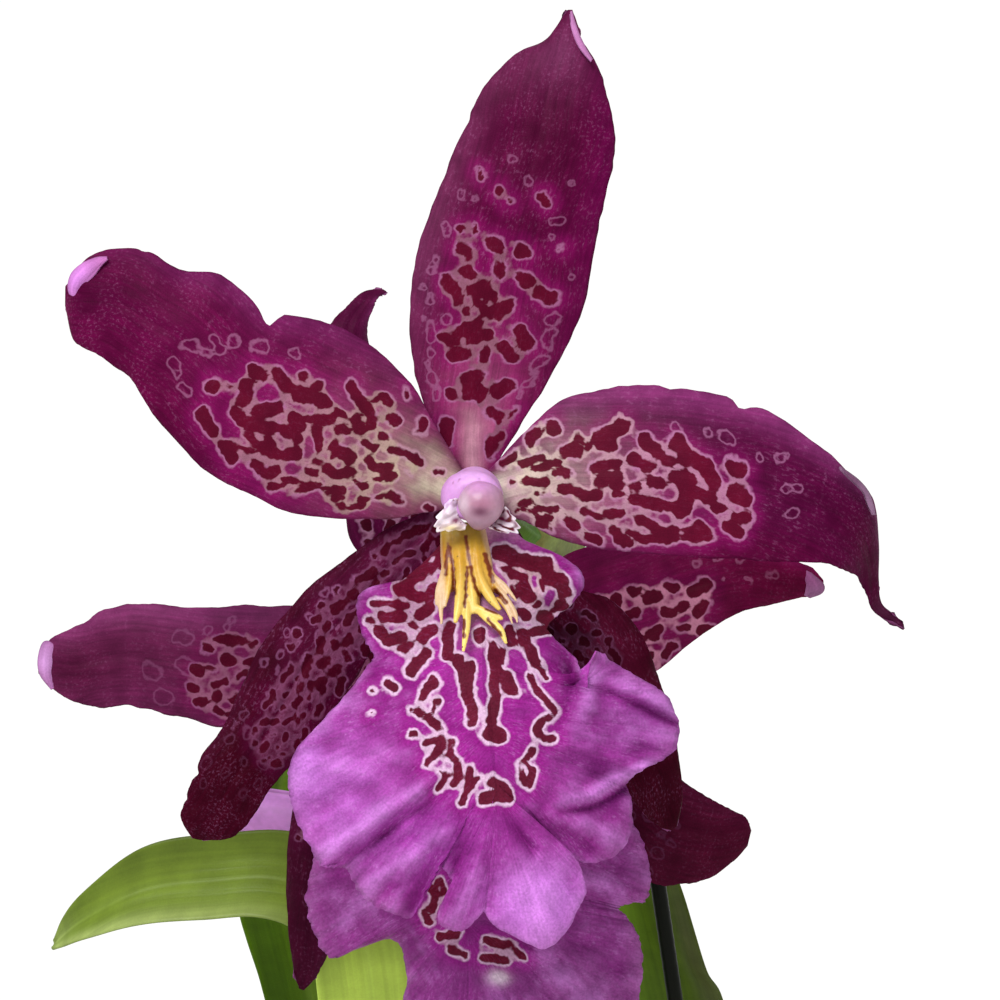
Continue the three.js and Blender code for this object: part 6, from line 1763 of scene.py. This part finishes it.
def freeLeafShell(name, leaf):
    u = np.linspace(0, 1, leafShape["along"])
    heading = np.radians(leaf["heading"])
    out = np.array([np.cos(heading), np.sin(heading), 0])
    side = np.array([-np.sin(heading), np.cos(heading), 0])
    fine = np.linspace(0, 1, 1000)
    pitch = np.radians(leaf["rise"] - leaf["bend"] * fine**2)
    step = leaf["length"] / 1000
    run = np.concatenate([[0], np.cumsum(np.cos(pitch) * step)])[:1000]
    climb = np.concatenate([[0], np.cumsum(np.sin(pitch) * step)])[:1000]
    middle = np.array(leaf["foot"]) + np.interp(u, fine, run)[:, None] * out
    middle = middle + np.interp(u, fine, climb)[:, None] * np.array([0, 0, 1])
    here = np.radians(leaf["rise"] - leaf["bend"] * u**2)[:, None]
    up = -np.sin(here) * out + np.cos(here) * np.array([0, 0, 1])
    half = leaf["half"] * np.maximum(0.2, np.sin(np.pi * (0.02 + 0.96 * u**0.85)))
    half = (half * np.clip((1 - u) / 0.05, 0.04, 1) ** 0.5)[:, None]
    return leafShell(name, middle - side * half, middle + side * half, up)


for name, rows in seenLeaves.items():
    makePiece(f"{name}_blade", seenLeafShell(name, rows), leafSkin, [name])
for name, leaf in freeLeaves.items():
    makePiece(f"{name}_blade", freeLeafShell(name, leaf), leafSkin, [name])
print("leaves built")


# Pseudobulbs: flattened ovals with ribs, sunk a little in the bark
bulbs = {
    "front_pseudobulb": {"x": -26, "y": -16, "height": 94.2, "half": 16, "turn": 20},
    "right_pseudobulb": {"x": 17, "y": 5.6, "height": 88.8, "half": 15, "turn": -15},
    "back_pseudobulb": {"x": -23, "y": 16.4, "height": 85.8, "half": 14.5, "turn": 60},
}
bulbShape = {
    "top": 99,
    "sunk": 4,
    "flatness": 0.7,
    "ribs": 9,
    "ribDepth": 0.035,
    "collar": 3,  # the dry sheath that the leaves' feet stand in
    "green": "#76903c",
    "pale": "#9aab58",
    "dry": "#8c7440",
}


def bulbShell(seed, bulb):
    u = np.linspace(0, 1, 120)[:, None]
    turn = 2 * np.pi * np.arange(108)[None, :] / 108
    swell = 0.3 + 0.7 * np.sin(np.pi * (0.16 + 0.62 * u)) ** 2 - 0.12 * u
    shoulder = np.where(u > 0.8, 1 - 0.45 * ((u - 0.8) / 0.2) ** 2, 1)
    ribs = 1 + bulbShape["ribDepth"] * np.cos(bulbShape["ribs"] * turn)
    ribs = ribs + 0.008 * np.cos(27 * turn + 3 * u) + 0.01 * unevenness(seed, 14, u * 90, np.cos(turn) * 15)
    collar = np.clip((u - 0.95) / 0.05, 0, 1)
    radius = bulb["half"] * swell * shoulder * ribs * (1 + 0.14 * np.sin(np.pi * collar**0.7))
    z = bulbShape["top"] - bulbShape["sunk"] + bulb["height"] * u + 0 * turn
    z = z + bulbShape["collar"] * collar + 0.3 * np.cos(4 * turn + seed) * collar
    x, y = radius * np.cos(turn), radius * bulbShape["flatness"] * np.sin(turn)
    angle = np.radians(bulb["turn"])
    points = stacked(
        bulb["x"] + x * np.cos(angle) - y * np.sin(angle),
        bulb["y"] + x * np.sin(angle) + y * np.cos(angle), z)
    colour = painted(u + 0 * turn, turn + 0 * u, bulbShape["green"], [
        (bulbShape["pale"], 0.5, 2, 0.3, 2.5, 0.5), (bulbShape["dry"], 0, 3, 0.2, 9, 0.8),
        (bulbShape["dry"], 1, 3, 0.05, 9, 0.8)])
    grain = stacked(15 * np.cos(turn), 15 * np.sin(turn), z * 0.12)
    return ringShell(points, {"ground": colour, "grain": grain})


for seed, (name, bulb) in enumerate(bulbs.items()):
    makePiece(f"{name}_body", bulbShell(seed, bulb), bulbSkin, [name])
print("pseudobulbs built")


# Pot and bark
pot = {
    "baseRadius": 45,
    "rimRadius": 63,
    "height": 110,
    "wall": 4,
    "rimHeight": 17,
    "rimStep": 2.5,
    "sides": 160,
}
drain = {"count": 4, "radius": 4, "ring": 24}
bark = {"top": 99, "chips": 330, "seed": 8, "low": 96, "high": 103}


def potInner(z):
    slope = (pot["rimRadius"] - pot["rimStep"] - pot["baseRadius"]) / pot["height"]
    return pot["baseRadius"] + slope * z - pot["wall"]


# Points along a profile, close together so that its corners stay and its walls can wobble
def dense(profile, step):
    points = [np.array(profile[0], float)]
    for start, end in zip(profile[:-1], profile[1:]):
        start, end = np.array(start, float), np.array(end, float)
        count = max(1, int(np.linalg.norm(end - start) / step))
        points += [start + (end - start) * (k + 1) / count for k in range(count)]
    return np.array(points)


def potShell():
    rimFoot = pot["height"] - pot["rimHeight"]
    side = potInner(rimFoot) + pot["wall"]
    top, rim = pot["height"], pot["rimRadius"]
    profile = dense([
        (0.5, 0), (pot["baseRadius"] - 1.5, 0), (pot["baseRadius"], 1.5), (side, rimFoot),
        (rim - 0.8, rimFoot + 0.6), (rim, rimFoot + 1.8), (rim, top - 1.2), (rim - 1.2, top),
        (potInner(top) + 1, top), (potInner(top), top - 1), (potInner(pot["wall"]), pot["wall"]),
        (0.5, pot["wall"]),
    ], 2.2)
    turn = 2 * np.pi * np.arange(pot["sides"])[None, :] / pot["sides"]
    radius, z = profile[:, :1], profile[:, 1:]
    wobble = 1 - 0.0012 * (1 + unevenness(4, 30, z + radius, 20 * np.cos(turn), 20 * np.sin(turn)))
    radius = radius * wobble
    points = stacked(radius * np.cos(turn), radius * np.sin(turn), z + 0 * turn)
    return ringShell(points, {})


# Clay: terracotta with throwing lines and pale salts near the foot
def clayMaterial():
    material, tree = newMaterial("terracotta_clay")
    place = addNode(tree, "ShaderNodeTexCoord").outputs["Object"]
    split = addNode(tree, "ShaderNodeSeparateXYZ", {"Vector": place})
    lines = noiseAt(tree, scaled(tree, place, (6, 6, 420)), 1, 3)
    blotches = noiseAt(tree, place, 42, 5)
    grit = noiseAt(tree, place, 900, 3)
    colour = mixed(tree, blotches, rgba("#94502f"), rgba("#bd7850"))
    colour = greyed(tree, colour, lines, 0.12)
    colour = greyed(tree, colour, grit, 0.08)
    low = ramp(tree, split.outputs["Z"], 0.045, 0)
    salts = times(tree, low, ramp(tree, blotches, 0.45, 0.62))
    colour = mixed(tree, times(tree, salts, 0.7), colour, rgba("#d9c3ae"))
    height = mathOf(tree, "ADD", lines, grit)
    bump = addNode(tree, "ShaderNodeBump", {"Height": height, "Strength": 0.45, "Distance": 0.0004})
    surface = addNode(tree, "ShaderNodeBsdfPrincipled", {
        "Base Color": colour, "Roughness": 0.86, "IOR": 1.5, "Normal": bump.outputs[0]})
    finishMaterial(tree, surface)
    return material


potPiece = makePiece("pot_terracotta", potShell(), clayMaterial(), ["pot"])


def drilled(piece):
    for k in range(drain["count"]):
        turn = 2 * np.pi * (k + 0.5) / drain["count"]
        place = (drain["ring"] * np.cos(turn) * 0.001, drain["ring"] * np.sin(turn) * 0.001, 0)
        reach = drain["radius"] * 0.001
        bpy.ops.mesh.primitive_cylinder_add(vertices=48, radius=reach, depth=0.02, location=place)
        cutter = bpy.context.object
        hole = piece.modifiers.new("drain", "BOOLEAN")
        hole.operation = "DIFFERENCE"
        hole.object = cutter
        hole.solver = "EXACT"
        bpy.context.view_layer.objects.active = piece
        bpy.ops.object.modifier_apply(modifier=hole.name)
        bpy.data.objects.remove(cutter)


drilled(potPiece)
print("pot built")


# Bark: a bed of chips, each a split block with its own turn, size and colour
def barkShell():
    draw = np.random.default_rng(bark["seed"])
    bottom = pot["wall"] + 0.35
    edge = potInner(bark["low"]) - 0.65
    turn = 2 * np.pi * np.arange(120)[None, :] / 120
    levels = np.array([(potInner(bottom) - 0.65, bottom), (edge, bark["low"] - 2), (edge - 1, bark["low"]),
                       (edge * 0.75, bark["low"]), (edge * 0.5, bark["low"]), (edge * 0.25, bark["low"]),
                       (0.6, bark["low"])])
    radius, z = levels[:, :1], levels[:, 1:] + 0 * turn
    bed = stacked(radius * np.cos(turn), radius * np.sin(turn), z)
    colour = painted(radius + 0 * turn, z, "#2c1a10", [])
    shells = [ringShell(bed, {"ground": colour, "grain": bed})]
    tones = ["#5c3a24", "#6e472c", "#4a2d1b", "#7d5637", "#3c2416", "#8a6444"]
    spots = []
    while len(spots) < bark["chips"]:
        x, y = draw.uniform(-edge, edge, 2)
        size = draw.uniform(3.6, 8)
        if np.hypot(x, y) > edge - size * 0.75 or nearPlant(x, y, size * 0.62):
            continue
        spots.append((x, y, size))
    for x, y, size in spots:
        shells.append(chipShell(draw, x, y, size, tones[draw.integers(len(tones))]))
    return combined(shells)


# Whether a chip of this reach would touch a bulb, the spike, the stake or a leaf's foot
def nearPlant(x, y, reach):
    for bulb in bulbs.values():
        angle = np.radians(bulb["turn"])
        dx, dy = x - bulb["x"], y - bulb["y"]
        a, b = dx * np.cos(angle) + dy * np.sin(angle), dy * np.cos(angle) - dx * np.sin(angle)
        half = bulb["half"] * 0.62
        if np.hypot(a / (half + reach), b / (half * bulbShape["flatness"] + reach)) < 1:
            return True
    for px, py, clear in ((-4, -2, 3.6), (-16, -36.6, 4.2), (27, 26, 4.2), (42.2, -4.6, 2)):
        if np.hypot(x - px, y - py) < clear + reach:
            return True
    return False


def chipShell(draw, x, y, size, tone):
    rings = []
    sides = 14
    turn = 2 * np.pi * np.arange(sides) / sides
    shape = 1 + 0.22 * draw.normal(size=sides) * 0.6
    long = draw.uniform(0.9, 1.35)
    thick = size * draw.uniform(0.28, 0.5)
    for level, reach in ((-1, 0.55), (-0.8, 0.92), (0, 1), (0.75, 0.93), (1, 0.6)):
        jitter = 1 + 0.05 * draw.normal(size=sides)
        ring = stacked(np.cos(turn) * long, np.sin(turn) / long, 0 * turn) * (shape * jitter * reach)[:, None]
        ring[:, 2] = level * thick / size + 0.05 * draw.normal(size=sides)
        rings.append(ring * size * 0.62)
    points = np.array(rings)
    roll, tip, heading = draw.uniform(-0.5, 0.5), draw.uniform(-0.5, 0.5), draw.uniform(0, 6.3)
    points = rotated(points, roll, tip, heading)
    z = draw.uniform(bark["low"] + 0.5, bark["high"] - 2.5)
    low, high = points[..., 2].min(), points[..., 2].max()
    z = min(z, bark["high"] - high)
    place = points + np.array([x, y, z])
    colour = painted(points[..., 2], points[..., 0], tone, [("#2a180e", low, 0, (high - low) * 0.5, 99, 0.6)])
    return ringShell(place, {"ground": colour, "grain": points * 2 + draw.uniform(0, 50)})


def rotated(points, roll, tip, heading):
    x, y, z = points[..., 0], points[..., 1], points[..., 2]
    y, z = y * np.cos(roll) - z * np.sin(roll), y * np.sin(roll) + z * np.cos(roll)
    x, z = x * np.cos(tip) + z * np.sin(tip), z * np.cos(tip) - x * np.sin(tip)
    return stacked(x * np.cos(heading) - y * np.sin(heading), x * np.sin(heading) + y * np.cos(heading), z)


# Bark: fir bark, rough and dry, layered like its growth rings
barkSkin = paintedMaterial("fir_bark_chips", {
    "place": "grain", "scale": 0.9, "depth": 0.3, "bump": 0.9, "relief": 0.6, "roughness": 0.95,
    "specular": 0.25, "glow": 0})
makePiece("bark_chip_bed", barkShell(), barkSkin, ["bark"])
print("bark built")


# Stage, light and camera
stage = {
    "floor": "#f4f4f2",
    "world": 0.5,
    "sun": {"strength": 2.9, "softness": 35, "turn": (42, 0, -25)},  # degrees
    "lens": 144,
    "camera": (-0.01065, -0.556, 0.443),
    "aimDown": 81,
}


def floorMaterial():
    material, tree = newMaterial("studio_floor_white")
    place = addNode(tree, "ShaderNodeTexCoord").outputs["Object"]
    noise = noiseAt(tree, place, 6, 2)
    colour = mixed(tree, noise, rgba(stage["floor"]), rgba("#f7f7f5"))
    surface = addNode(tree, "ShaderNodeBsdfPrincipled", {"Base Color": colour, "Roughness": 0.9})
    finishMaterial(tree, surface)
    return material


bpy.ops.mesh.primitive_plane_add(size=60, location=(0, 0, 0))
floor = bpy.context.object
floor.name = "studio_floor"
floor.data.materials.append(floorMaterial())


# A broad soft sun, so that the plant and the whole floor are lit alike
sunData = bpy.data.lights.new("key_sun", "SUN")
sunData.energy = stage["sun"]["strength"]
sunData.angle = np.radians(stage["sun"]["softness"])
sun = bpy.data.objects.new("key_sun", sunData)
sun.rotation_euler = np.radians(stage["sun"]["turn"])
bpy.context.scene.collection.objects.link(sun)

world = bpy.data.worlds.new("studio_world")
world.use_nodes = True
background = world.node_tree.nodes["Background"]
background.inputs["Color"].default_value = (1, 1, 1, 1)
background.inputs["Strength"].default_value = stage["world"]
bpy.context.scene.world = world

cameraData = bpy.data.cameras.new("camera")
cameraData.sensor_width = 36
cameraData.lens = stage["lens"]
cameraData.clip_end = 100
camera = bpy.data.objects.new("camera", cameraData)
camera.location = stage["camera"]
camera.rotation_euler = (np.radians(stage["aimDown"]), 0, 0)
bpy.context.scene.collection.objects.link(camera)
bpy.context.scene.camera = camera
bpy.context.scene.view_settings.view_transform = "Standard"

print("stage and camera set")
